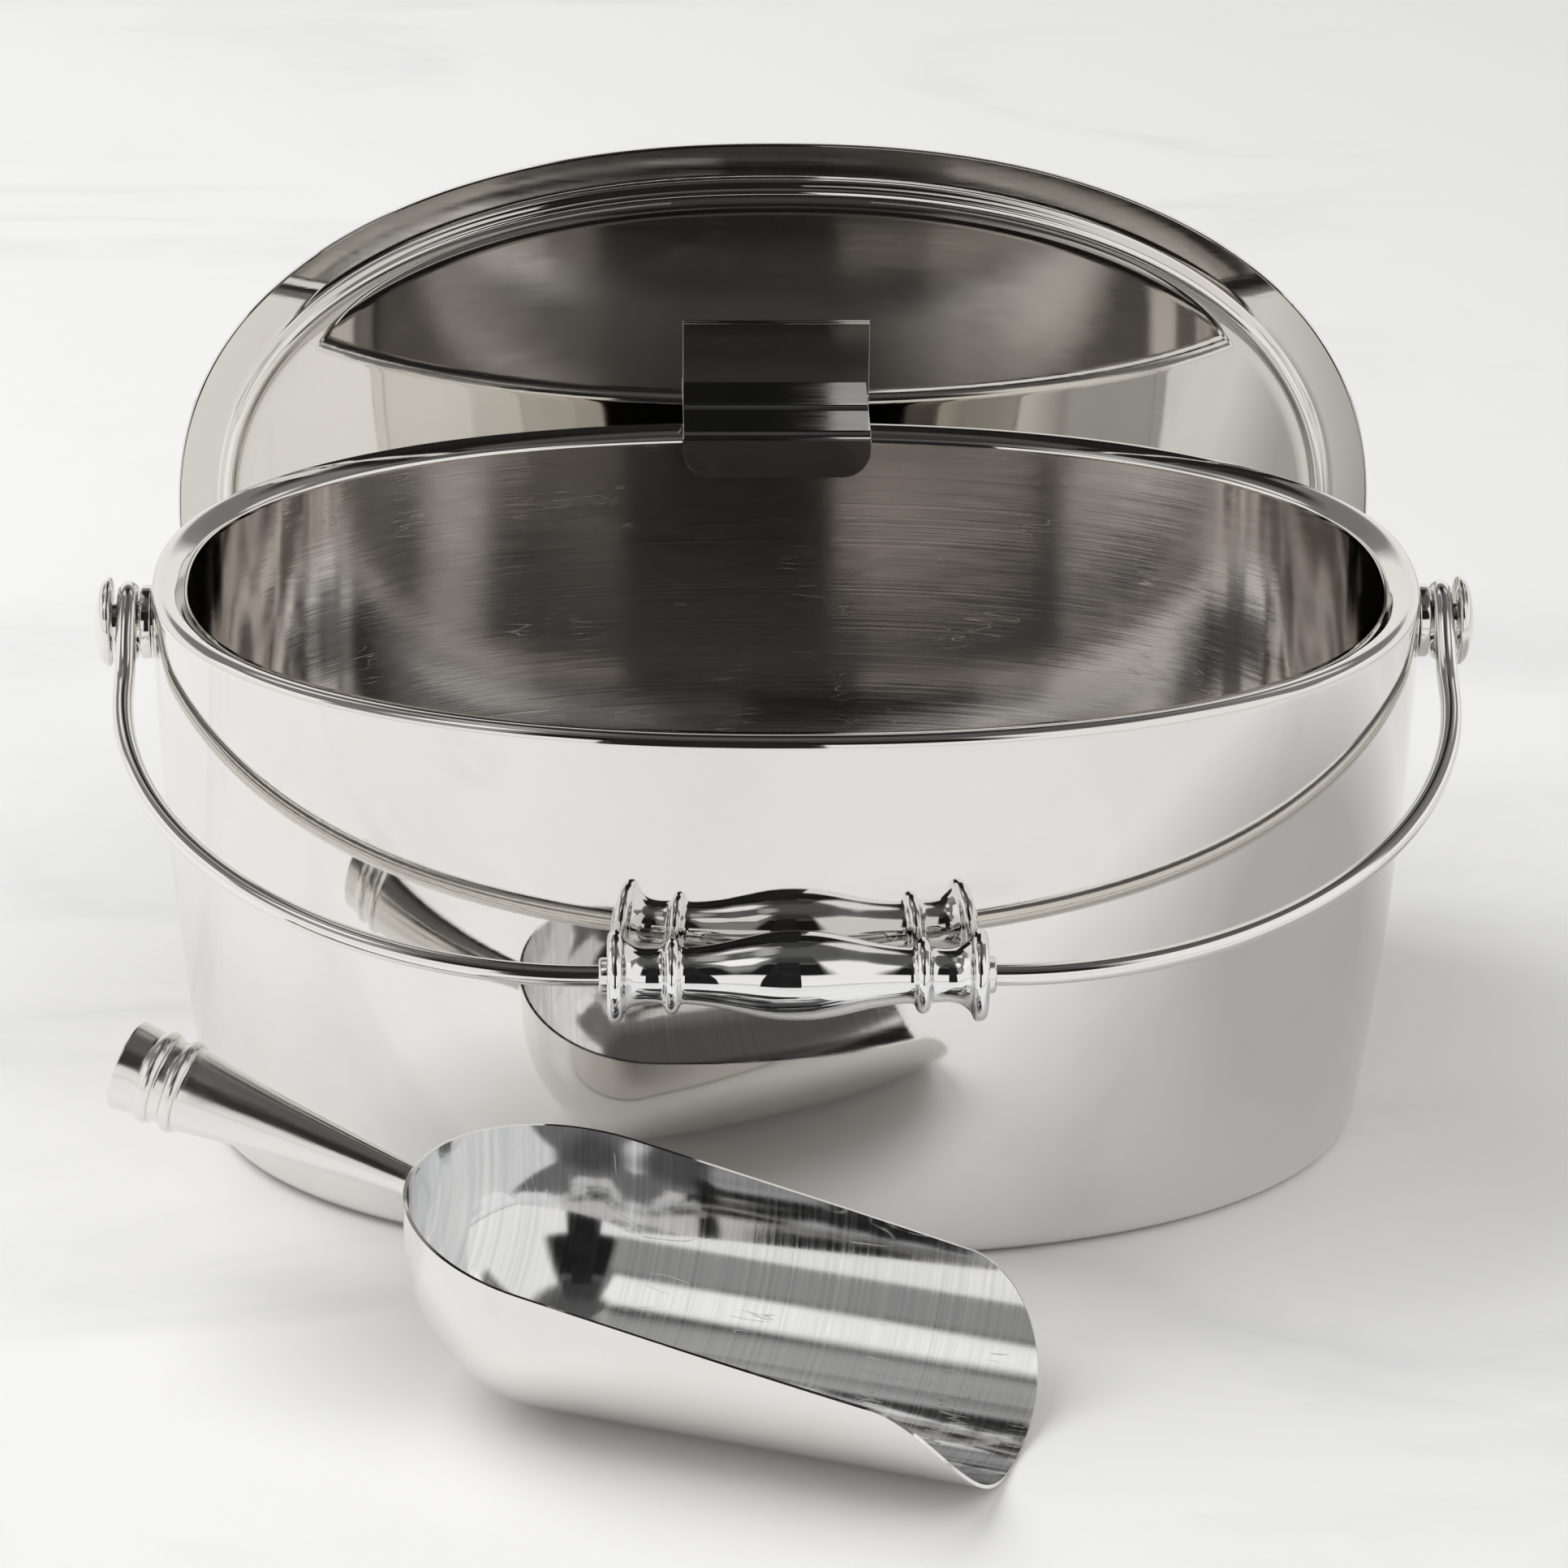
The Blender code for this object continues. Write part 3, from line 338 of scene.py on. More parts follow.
class Nodes:
    """Short way to write the nodes of a material or of the world."""

    def __init__(self, owner):
        self.owner = owner
        owner.use_nodes = True
        self.tree = owner.node_tree
        self.shader = self.tree.nodes.get("Principled BSDF")

    def add(self, kind, **settings):
        node = self.tree.nodes.new(kind)
        for key, value in settings.items():
            setattr(node, key, value)
        return node

    def link(self, source, target):
        self.tree.links.new(source, target)

    def coordinates(self, stretch, turn=(0, 0, 0)):
        source = self.add("ShaderNodeTexCoord").outputs["Object"]
        mapping = self.add("ShaderNodeMapping")
        mapping.inputs["Scale"].default_value = stretch
        mapping.inputs["Rotation"].default_value = turn
        self.link(source, mapping.inputs["Vector"])
        return mapping.outputs["Vector"]

    def noise(self, stretch, scale=1.0, detail=3.0, rough=0.55, turn=(0, 0, 0)):
        node = self.add("ShaderNodeTexNoise")
        node.inputs["Scale"].default_value = scale
        node.inputs["Detail"].default_value = detail
        node.inputs["Roughness"].default_value = rough
        self.link(self.coordinates(stretch, turn), node.inputs["Vector"])
        return node.outputs["Fac"]

    def spread(self, value, low, high, to_low, to_high):
        node = self.add("ShaderNodeMapRange")
        node.inputs["From Min"].default_value = low
        node.inputs["From Max"].default_value = high
        node.inputs["To Min"].default_value = to_low
        node.inputs["To Max"].default_value = to_high
        self.link(value, node.inputs["Value"])
        return node.outputs["Result"]

    def math(self, operation, first, second):
        node = self.add("ShaderNodeMath", operation=operation)
        for socket, value in zip(node.inputs, (first, second)):
            if isinstance(value, (int, float)):
                socket.default_value = value
            else:
                self.link(value, socket)
        return node.outputs["Value"]

    def blend(self, factor, first, second):
        node = self.add("ShaderNodeMix", data_type="RGBA")
        self.link(factor, node.inputs["Factor"])
        node.inputs["A"].default_value = (*first, 1)
        node.inputs["B"].default_value = (*second, 1)
        return node.outputs["Result"]

    def mix(self, factor, first, second):
        node = self.add("ShaderNodeMix", data_type="FLOAT", clamp_factor=True)
        self.link(factor, node.inputs["Factor"])
        for socket, value in ((node.inputs["A"], first), (node.inputs["B"], second)):
            if isinstance(value, (int, float)):
                socket.default_value = value
            else:
                self.link(value, socket)
        return node.outputs["Result"]

    def ramp(self, value, stops):
        """A value that follows (position, level) stops."""
        node = self.add("ShaderNodeValToRGB")
        elements = node.color_ramp.elements
        for index, (position, level) in enumerate(stops):
            element = elements[index] if index < 2 else elements.new(position)
            element.position = position
            element.color = (level, level, level, 1)
        self.link(value, node.inputs["Fac"])
        return node.outputs["Color"]

    def bump(self, height, distance, strength=1.0, under=None):
        node = self.add("ShaderNodeBump")
        node.inputs["Strength"].default_value = strength
        node.inputs["Distance"].default_value = distance
        self.link(height, node.inputs["Height"])
        if under is not None:
            self.link(under, node.inputs["Normal"])
        return node.outputs["Normal"]

    def scratches(self, stretch, turn, width):
        """Thin lines where a stretched noise crosses its middle value, broken up by a second noise."""
        level = self.noise(stretch, 1.0, 1.0, 0.4, turn)
        line = self.math("ABSOLUTE", self.math("SUBTRACT", level, 0.5), 0.0)
        thin = self.spread(line, 0.0, width, 1.0, 0.0)
        patches = self.spread(self.noise((60, 60, 60), 1.0, 2.0), 0.56, 0.66, 0.0, 1.0)
        return self.math("MULTIPLY", thin, patches)


CLOUDS = (9, 9, 9)
HAZE = (24, 24, 24)
WAVES = (26, 26, 26)
SHORT_WAVES = (48, 48, 170)
SCRATCH_DEPTH = 20 * MICRON
SCRATCH_STRENGTH = 0.6
SCRATCH_HAZE = 0.22


def polished_steel(name, colours, grain, grain_depth, roughness, wave_depth=0.0, scratch=None, wave=WAVES,
                   brushed=False):
    """Polished stainless. grain is the stretch of the fine polishing lines across their direction.
    On brushed steel the same lines are also darker and lighter."""
    n = Nodes(bpy.data.materials.new(name))
    n.shader.inputs["Metallic"].default_value = 1.0
    lines = n.noise(grain, 1.0, 5.0, 0.62)
    cloud = lines if brushed else n.noise(CLOUDS, 1.0, 4.0)
    light, dark = colours
    n.link(n.blend(n.spread(cloud, 0.3, 0.7, 0.0, 1.0), dark, light), n.shader.inputs["Base Color"])
    haze = n.spread(n.math("MULTIPLY", n.noise(HAZE, 1.0, 4.0), lines), 0.12, 0.4, *roughness)
    normal = n.bump(lines, grain_depth)
    if wave_depth:
        normal = n.bump(n.noise(wave, 1.0, 1.5), wave_depth, 1.0, normal)
    if scratch:
        marks = n.scratches(*scratch)
        normal = n.bump(marks, -SCRATCH_DEPTH, SCRATCH_STRENGTH, normal)
        haze = n.math("ADD", haze, n.math("MULTIPLY", marks, SCRATCH_HAZE))
    n.link(haze, n.shader.inputs["Roughness"])
    n.link(normal, n.shader.inputs["Normal"])
    return n.owner


# Steels: light colour, dark colour
WARM = ((0.86, 0.845, 0.82), (0.80, 0.785, 0.755))
CHROME = ((0.90, 0.90, 0.90), (0.84, 0.84, 0.845))
LINER = ((0.81, 0.79, 0.77), (0.75, 0.73, 0.71))
WIRE = ((0.90, 0.885, 0.865), (0.84, 0.82, 0.795))
# The hook is the lid's steel painted darker: painted shade
SHADED_HOOK = ((0.56, 0.55, 0.54), (0.50, 0.49, 0.48))
ZINC = ((0.55, 0.56, 0.58), (0.42, 0.43, 0.45))
BRUSHED = ((0.90, 0.90, 0.90), (0.66, 0.67, 0.68))
CHROME_ROUGHNESS = (0.008, 0.04)
MIRROR_ROUGHNESS = (0.018, 0.075)
WORN_ROUGHNESS = (0.03, 0.12)
SATIN_ROUGHNESS = (0.025, 0.085)
INSIDE_ROUGHNESS = (0.035, 0.13)
WIRE_ROUGHNESS = (0.06, 0.15)
BRUSHED_ROUGHNESS = (0.15, 0.26)
ZINC_ROUGHNESS = (0.3, 0.5)
ACROSS_Z = (4, 4, 900)
ACROSS_X = (900, 6, 6)
ACROSS_Y = (6, 900, 6)
# Scratches: stretch, turn, width
SCOOP_SCRATCHES = ((40, 420, 40), (0.3, 0.5, 0.65), 0.012)
LINER_SCRATCHES = ((60, 60, 500), (0.5, 0.2, 0.4), 0.008)

shell_steel = polished_steel("shell_steel", WARM, ACROSS_Z, 1.6 * MICRON, MIRROR_ROUGHNESS, 12 * MICRON)
liner_steel = polished_steel("liner_steel", LINER, (3, 3, 1300), 8 * MICRON, SATIN_ROUGHNESS, 14 * MICRON,
                             LINER_SCRATCHES, SHORT_WAVES)
lid_steel = polished_steel("lid_steel", WARM, ACROSS_Y, 1.6 * MICRON, MIRROR_ROUGHNESS, 8 * MICRON)
# Painted shade: the lid's steel in a darker colour for the hook
shaded_hook_steel = polished_steel("shaded_hook_steel", SHADED_HOOK, ACROSS_Y, 1.6 * MICRON, MIRROR_ROUGHNESS)
scoop_steel = polished_steel("scoop_steel", WARM, (700, 5, 5), 2.5 * MICRON, WORN_ROUGHNESS, 20 * MICRON,
                             SCOOP_SCRATCHES)
scoop_inside_steel = polished_steel("scoop_inside_steel", BRUSHED, (900, 7, 7), 6 * MICRON, INSIDE_ROUGHNESS,
                                    20 * MICRON, SCOOP_SCRATCHES, brushed=True)
scoop_handle_steel = polished_steel("scoop_handle_steel", WARM, (6, 700, 700), 20 * MICRON, BRUSHED_ROUGHNESS)
wire_steel = polished_steel("wire_steel", WIRE, (40, 300, 300), 1.5 * MICRON, WIRE_ROUGHNESS)
rod_steel = polished_steel("rod_steel", WARM, (60, 700, 700), 4 * MICRON, WORN_ROUGHNESS)
grip_chrome = polished_steel("grip_chrome", CHROME, ACROSS_X, 1.2 * MICRON, CHROME_ROUGHNESS, 4 * MICRON)
fitting_steel = polished_steel("fitting_steel", WARM, ACROSS_X, 3 * MICRON, WORN_ROUGHNESS)
zinc_steel = polished_steel("zinc_steel", ZINC, (300, 300, 300), 10 * MICRON, ZINC_ROUGHNESS)


# ---------------------------------------------------------------- bucket

def wall_inset(height):
    return TAPER * (max(SEAM_HEIGHT - height, 0) / TAPER_DEPTH) ** 2


def wall_section(offset, bottom, rounding, top):
    corner_top = bottom + rounding
    section = arc(wall_inset(corner_top) + offset + rounding, corner_top, rounding, -90, -180, CORNER_STEPS)
    for i in range(1, WALL_STEPS + 1):
        height = corner_top + (top - corner_top) * i / WALL_STEPS
        section.append((wall_inset(height) + offset, height))
    return section


def bucket():
    outside = wall_section(0, 0, BASE_ROUNDING, SEAM_HEIGHT)
    inside = wall_section(SHEET, SHEET, BASE_ROUNDING - SHEET, SEAM_HEIGHT)
    rings = oval_rings(RIM_HALF_LENGTH, RIM_HALF_WIDTH, outside + inside[::-1])
    piece("outer_shell_skin", grid_mesh("outer_shell_skin", rings), "bucket", "outer_shell",
          shell_steel)

    wall = wall_section(WALL_SPACING, LINER_FLOOR, LINER_ROUNDING, BUCKET_HEIGHT - RIM_DROP - LINER_WALL_GAP)
    rim = smooth_outline([(inset * MM, BUCKET_HEIGHT - depth * MM) for inset, depth in RIM_SLOPE_MM])
    rim += arc(RIM_ROUNDING, BUCKET_HEIGHT - RIM_ROUNDING, RIM_ROUNDING, 90, 180, RIM_STEPS)
    lip = [(0, SEAM_HEIGHT + RIM_LIP), (0, SEAM_HEIGHT), (SHEET, SEAM_HEIGHT)]
    under = arc(RIM_ROUNDING, BUCKET_HEIGHT - RIM_ROUNDING, RIM_ROUNDING - SHEET, 180, 90, RIM_UNDER_STEPS)
    under += [(inset * MM, BUCKET_HEIGHT - depth * MM) for inset, depth in RIM_UNDER_MM]
    back = wall_section(WALL_SPACING - SHEET, LINER_FLOOR - SHEET, LINER_ROUNDING + SHEET,
                        BUCKET_HEIGHT - RIM_DROP - SHEET)
    section = wall + rim + lip + under + back[::-1]
    mesh = grid_mesh("inner_liner_skin", oval_rings(RIM_HALF_LENGTH, RIM_HALF_WIDTH, section))
    mesh.materials.append(liner_steel)
    obj = piece("inner_liner_skin", mesh, "bucket", "inner_liner", shell_steel)
    first_polished = len(wall)
    for polygon in obj.data.polygons:
        lowest = min(polygon.vertices) // OVAL_STEPS
        polygon.material_index = 1 if lowest >= first_polished else 0


def side_matrix(sign):
    turn = Matrix.Rotation(0 if sign > 0 else math.pi, 4, "Z")
    return Matrix.Translation((0, 0, PIVOT_HEIGHT)) @ turn


def ring_outline(start, thickness, radius, hole, edge):
    """A flat ring with rounded outer edges."""
    end = start + thickness
    outline = [(start, hole)]
    outline += arc(start + edge, radius - edge, edge, 180, 90, EDGE_STEPS)
    outline += arc(end - edge, radius - edge, edge, 90, 0, EDGE_STEPS)
    outline.append((end, hole))
    return outline


def stud_outline():
    head = SHANK_X + SHANK_LENGTH
    outline = [(THREAD_END, THREAD_RADIUS - THREAD_CHAMFER), (THREAD_END + THREAD_CHAMFER, THREAD_RADIUS),
               (SHANK_X, THREAD_RADIUS), (SHANK_X, SHANK_RADIUS), (head, SHANK_RADIUS)]
    outline += [(head + along * MM, HEAD_RADIUS - depth * MM) for along, depth in HEAD_EDGE_MM]
    dome_start, dome_radius = outline[-1]
    for i in range(1, HEAD_STEPS):
        angle = math.pi / 2 * i / HEAD_STEPS
        outline.append((dome_start + HEAD_DOME * math.sin(angle), dome_radius * math.cos(angle)))
    return outline


def pivots():
    hole = THREAD_RADIUS + COLLAR_HOLE_GAP
    for side, sign in SIDES:
        place = side_matrix(sign)
        rings = turned_rings(ring_outline(COLLAR_X, COLLAR_THICKNESS, COLLAR_RADIUS, hole, COLLAR_EDGE))
        piece(side + "_pivot_collar_skin", grid_mesh(side + "_pivot_collar_skin", rings, loop=True), "bucket",
              side + "_pivot_collar", fitting_steel, place)
        mesh = grid_mesh(side + "_shoulder_stud_skin", turned_rings(stud_outline()))
        piece(side + "_shoulder_stud_skin", mesh, "bucket", side + "_shoulder_stud",
              fitting_steel, place)


# ---------------------------------------------------------------- bail

def bail_point(x, along, across=0.0):
    return Vector((x, -along, across))


def bail_side():
    points = []
    for i in range(EYE_STEPS + 1):
        angle = math.radians(EYE_START_DEG + (EYE_END_DEG - EYE_START_DEG) * i / EYE_STEPS)
        points.append(bail_point(EYE_X, EYE_RADIUS * math.cos(angle), EYE_RADIUS * math.sin(angle)))
    start = points[-1]
    heading = math.radians(EYE_END_DEG - 90)
    lead = bail_point(0, BAIL_NECK_LEAD * math.cos(heading), BAIL_NECK_LEAD * math.sin(heading))
    control_a = start + lead
    control_b = bail_point(EYE_X, BAIL_NECK_PULL)
    end = bail_point(EYE_X, BAIL_NECK_END)
    for i in range(1, BAIL_NECK_STEPS + 1):
        t = i / BAIL_NECK_STEPS
        s = 1 - t
        points.append(s ** 3 * start + 3 * s * s * t * control_a + 3 * s * t * t * control_b + t ** 3 * end)
    for i in range(BAIL_CORNER_STEPS + 1):
        angle = math.pi / 2 * i / BAIL_CORNER_STEPS
        x = BAIL_STRAIGHT_HALF + (EYE_X - BAIL_STRAIGHT_HALF) * math.cos(angle)
        points.append(bail_point(x, BAIL_STEM_END + (BAIL_LENGTH - BAIL_STEM_END) * math.sin(angle)))
    return points


def scaled(outline, scale=1.0):
    return [(along * MM * scale, radius * MM * scale) for along, radius in outline]


def grip_mesh(name, bore, scale=1.0):
    half = smooth_outline(GRIP_HALF_MM)
    whole = [(-a, r) for a, r in half[:0:-1]] + half
    bore = list(bore) + [(-a, r) for a, r in bore[::-1]]
    return grid_mesh(name, turned_rings(scaled(whole + bore, scale), GRIP_STEPS), loop=True)


def bail():
    place = Matrix.Translation((0, 0, PIVOT_HEIGHT)) @ Matrix.Rotation(math.radians(BAIL_REST_DEG), 4, "X")
    right = bail_side()
    left = [Vector((-p.x, p.y, p.z)) for p in right]
    mesh = tube_mesh("bail_wire_skin", right + left[::-1], WIRE_RADIUS)
    piece("bail_wire_skin", mesh, "bail", "bail_wire", wire_steel, place)

    at_grip = place @ Matrix.Translation((0, -BAIL_LENGTH, 0))
    piece("bail_grip_skin", grip_mesh("bail_grip_skin", GRIP_BORE_MM), "grip", "bail_grip",
          grip_chrome, at_grip)
    for side, sign in SIDES:
        mirror = Matrix.Rotation(0 if sign > 0 else math.pi, 4, "Z")
        mesh = grid_mesh(side + "_grip_bush_skin", turned_rings(scaled(BUSH_MM), BUSH_STEPS), loop=True)
        piece(side + "_grip_bush_skin", mesh, "grip", side + "_grip_bush", fitting_steel,
              at_grip @ mirror)


# ---------------------------------------------------------------- lid

def lid_place():
    return Matrix.Translation(LID_CENTRE) @ Matrix.Rotation(-math.radians(90 + LID_TILT_DEG), 4, "X")


def brim_drop(inset):
    return LID_BRIM_DROP * (1 - inset / LID_FLANGE_WIDTH)


def dome_height(shrink):
    return LID_TOP_FLANGE + LID_DOME_RISE * (1 - shrink * shrink)


def lid_shells(place):
    size = (RIM_HALF_LENGTH + LID_OVERHANG, RIM_HALF_WIDTH + LID_OVERHANG)
    edge = LID_HEM + LID_GAP
    section = smooth_outline([(inset * MM, -depth * MM) for inset, depth in LID_UNDER_MM])
    section += [(inset * MM, -brim_drop(inset * MM)) for inset in LID_BRIM_INSETS_MM]
    section += [(edge, -brim_drop(edge)), (edge, LID_SHEET - brim_drop(edge)), (LID_FLANGE_WIDTH, LID_SHEET)]
    section += [(inset * MM, height * MM) for inset, height in LID_INSIDE_MM]
    section.append((LID_PANEL_INSET, LID_SHEET - LID_PANEL_DEPTH))
    piece("lid_pan_skin", grid_mesh("lid_pan_skin", oval_rings(*size, section)), "lid",
          "lid_pan", lid_steel, place)

    steps = [i / LID_DOME_STEPS for i in range(LID_DOME_STEPS + 1)]
    shares = [1 - step ** LID_DOME_CROWDING * LID_DOME_SPAN for step in steps]
    lower = [(LID_FLANGE_WIDTH, dome_height(s) - LID_SHEET, s) for s in shares[::-1]]
    hem = [(inset * MM, height * MM - brim_drop(inset * MM)) for inset, height in LID_HEM_MM]
    upper = [(LID_FLANGE_WIDTH, dome_height(s), s) for s in shares]
    piece("lid_cover_skin", grid_mesh("lid_cover_skin", oval_rings(*size, lower + hem + upper)), "lid",
          "lid_cover", lid_steel, place)


def lid_hook(place):
    """A strip with rounded bends: flat on the panel, out over the rim, and down inside the bucket."""
    panel = LID_PANEL_DEPTH + LID_GAP
    tip = HOOK_BRIDGE - HOOK_TONGUE + HOOK_SHEET
    mid = HOOK_SHEET / 2
    bend = HOOK_BEND + mid
    up, out = HOOK_BRIDGE + mid, HOOK_REACH + mid
    line = [(HOOK_WELD_TOP, panel + mid), (HOOK_WELD_TOP - HOOK_EDGE, panel + mid)]
    line.append((up + bend + HOOK_EDGE, panel + mid))
    line += arc(up + bend, panel + mid + bend, bend, 270, 180, HOOK_BEND_STEPS)
    line += [(up, panel + mid + bend + HOOK_EDGE), (up, out - bend - HOOK_EDGE)]
    line += arc(up - bend, out - bend, bend, 0, 90, HOOK_BEND_STEPS)
    line.append((up - bend - HOOK_EDGE, out))
    drop = (up - bend - tip) / HOOK_TIP_STEPS
    line += [(up - bend - drop * i, out) for i in range(1, HOOK_TIP_STEPS + 1)]
    rings = []
    for i, (height, reach) in enumerate(line):
        before, after = line[max(i - 1, 0)], line[min(i + 1, len(line) - 1)]
        along = Vector((after[0] - before[0], after[1] - before[1])).normalized()
        across = Vector((-along.y, along.x)) * mid
        half_width = HOOK_HALF_WIDTH
        if i >= len(line) - HOOK_TIP_STEPS:
            depth = HOOK_CORNER - (height - tip)
            if depth > 0:
                half_width -= HOOK_CORNER - math.sqrt(max(HOOK_CORNER ** 2 - depth ** 2, 0))
        ring = []
        for x, side in ((-half_width, 1), (half_width, 1), (half_width, -1), (-half_width, -1)):
            ring.append((x, -(height + across.x * side), -(reach + across.y * side)))
        rings.append(ring)
    mesh = grid_mesh("lid_hook_skin", rings)
    # The hook's steel is painted darker, as shade
    obj = piece("lid_hook_skin", mesh, "lid", "lid_hook", shaded_hook_steel, place)
    bevel = obj.modifiers.new("soft_edges", "BEVEL")
    bevel.width = HOOK_BEVEL
    bevel.segments = HOOK_BEVEL_STEPS
    bevel.limit_method = "ANGLE"
    bevel.angle_limit = math.radians(HOOK_BEVEL_DEG)


def lid_handle(place):
    foot_height = dome_height(HANDLE_HALF / (RIM_HALF_LENGTH - LID_FLANGE_WIDTH)) + LID_GAP
    side = [(HANDLE_HALF, foot_height - HANDLE_ROD_END + WIRE_END_ROUNDING)]
    side += arc(HANDLE_HALF - HANDLE_CORNER, HANDLE_RISE - HANDLE_CORNER, HANDLE_CORNER, 0, 90,
                HANDLE_CORNER_STEPS)
    path = [Vector((x, 0, z)) for x, z in side] + [Vector((-x, 0, z)) for x, z in side[::-1]]
    piece("lid_handle_rod_skin", tube_mesh("lid_handle_rod_skin", path, WIRE_RADIUS), "lid",
          "lid_handle_rod", rod_steel, place)
    hole = (WIRE_RADIUS + LID_GAP) / HANDLE_GRIP_SCALE / MM
    mesh = grip_mesh("lid_handle_grip_skin", ((GRIP_HALF_MM[-1][0], hole),), HANDLE_GRIP_SCALE)
    piece("lid_handle_grip_skin", mesh, "lid", "lid_handle_grip", grip_chrome,
          place @ Matrix.Translation((0, 0, HANDLE_RISE)))
    upright = Matrix.Rotation(-math.pi / 2, 4, "Y")
    for name, sign in SIDES:
        at = place @ Matrix.Translation((sign * HANDLE_HALF, 0, foot_height + FOOT_LIFT)) @ upright
        mesh = grid_mesh(name + "_handle_foot_skin", turned_rings(scaled(FOOT_MM)), loop=True)
        piece(name + "_handle_foot_skin", mesh, "lid", name + "_handle_foot",
              fitting_steel, at)


# ---------------------------------------------------------------- scoop

def scoop_rim_height(along):
    if along < SCOOP_LIP_LENGTH:
        share = 1 - max(along, 0) / SCOOP_LIP_LENGTH
        return SCOOP_LIP_HEIGHT * (1 - share ** SCOOP_LIP_ROUNDNESS) ** SCOOP_LIP_BLUNTNESS
    run = SCOOP_BACK_CENTRE + SCOOP_RADIUS - SCOOP_LIP_LENGTH
    return SCOOP_LIP_HEIGHT + (SCOOP_BACK_HEIGHT - SCOOP_LIP_HEIGHT) / run * (along - SCOOP_LIP_LENGTH)


def scoop_section_point(share, rim_height, inset):
    """How far out and up a point of the section is, at a share of the way from the bottom to the rim."""
    radius = SCOOP_RADIUS
    quarter = radius * math.pi / 2
    if rim_height < radius:
        length = radius * math.acos(1 - rim_height / radius)
    else:
        length = quarter + rim_height - radius
    reach = share * length
    if reach < quarter:
        angle = reach / radius
        inner = radius - inset
        return inner * math.sin(angle), radius - inner * math.cos(angle)
    return radius - inset, radius + reach - quarter


def scoop_bowl(place):
    shares = [i / SCOOP_LIP_STEPS for i in range(SCOOP_LIP_STEPS + 1)]
    side = [SCOOP_LIP_LENGTH * share ** SCOOP_LIP_CROWDING for share in shares]
    step = (SCOOP_BACK_CENTRE - SCOOP_LIP_LENGTH) / SCOOP_SIDE_STEPS
    side += [SCOOP_LIP_LENGTH + step * i for i in range(1, SCOOP_SIDE_STEPS)]
    stations = [(along, -90) for along in side]
    stations += [(SCOOP_BACK_CENTRE, -90 + 180 * i / SCOOP_BACK_STEPS) for i in range(SCOOP_BACK_STEPS + 1)]
    stations += [(along, 90) for along in side[::-1]]
    rings = []
    for along, turn in stations:
        angle = math.radians(turn)
        rim = scoop_rim_height(along + SCOOP_RADIUS * math.cos(angle))
        skins = []
        for inset in (0, SCOOP_SHEET):
            column = []
            for i in range(SCOOP_ROWS + 1):
                out, up = scoop_section_point(i / SCOOP_ROWS, rim, inset)
                column.append((along + out * math.cos(angle), out * math.sin(angle), up))
            skins.append(column)
        outer, inner = skins
        rings.append(outer + inner[::-1])
    mesh = grid_mesh("scoop_bowl_skin", rings, wrap=False)
    mesh.materials.append(scoop_inside_steel)
    for polygon in mesh.polygons:
        polygon.material_index = 0 if polygon.index % (2 * SCOOP_ROWS + 1) > SCOOP_ROWS else 1
    bm = bmesh.new()
    bm.from_mesh(mesh)
    bmesh.ops.remove_doubles(bm, verts=bm.verts, dist=SCOOP_MERGE)
    bmesh.ops.dissolve_degenerate(bm, edges=bm.edges, dist=SCOOP_MERGE / 2)
    bm.to_mesh(mesh)
    bm.free()
    piece("scoop_bowl_skin", mesh, "scoop", "scoop_bowl", scoop_steel, place)


def scoop():
    place = Matrix.Translation(SCOOP_LIP) @ Matrix.Rotation(math.radians(SCOOP_HEADING_DEG), 4, "Z")
    scoop_bowl(place)
    start = SCOOP_BACK_CENTRE + SCOOP_RADIUS + SCOOP_HANDLE_GAP
    tilt = Matrix.Rotation(-math.radians(SCOOP_HANDLE_RISE_DEG), 4, "Y")
    at = place @ Matrix.Translation((start, 0, SCOOP_HANDLE_HEIGHT)) @ tilt
    rings = turned_rings(scaled(smooth_outline(SCOOP_HANDLE_MM) + list(SCOOP_HANDLE_INSIDE_MM)))
    piece("scoop_handle_skin", grid_mesh("scoop_handle_skin", rings, loop=True), "scoop",
          "scoop_handle", scoop_handle_steel, at)
    piece("scoop_end_cap_skin", grid_mesh("scoop_end_cap_skin", turned_rings(scaled(SCOOP_CAP_MM))), "scoop",
          "scoop_end_cap", fitting_steel, at)


# ---------------------------------------------------------------- studio

# Brightness by height: sine of the elevation, level. The first two stops are the ends.
SKY_LEVELS = ((0.0, 0.92), (1.0, 0.10), (0.40, 0.88), (0.46, 0.26), (0.55, 0.20), (0.84, 0.20),
              (0.93, 0.10))
SKY_TINT = (1.0, 0.99, 0.975)
SKY_EDGE_DEG = 3
SKY_EDGE_HEIGHT = 0.05
# Dark stands and windows: direction and half width in degrees, 0 at the front and 90 at the right,
# then the sines of the lowest and highest elevation, and the level
SKY_PATCHES = ((-4, 27, 0.41, 0.84, 0.012), (-4, 27, 0.80, 0.98, 0.05), (53, 27, 0.30, 0.88, 0.90),
               (-43, 11, 0.38, 0.74, 0.30), (-97, 34, 0.93, 0.995, 0.80), (-53, 13, 0.73, 0.94, 1.2),
               (-90, 20, 0.36, 0.62, 3.0), (103, 12, 0.30, 0.48, 2.2), (-142, 20, 0.86, 0.985, 0.42),
               (-138, 12, 0.72, 0.90, 0.9), (138, 12, 0.64, 0.82, 0.8), (-177, 16, 0.66, 1.0, 0.02),
               (177, 16, 0.66, 1.0, 0.02))
# At the liner's ends a view is mirrored five times or more before it leaves the bucket
GLOSSY_BOUNCES = 6
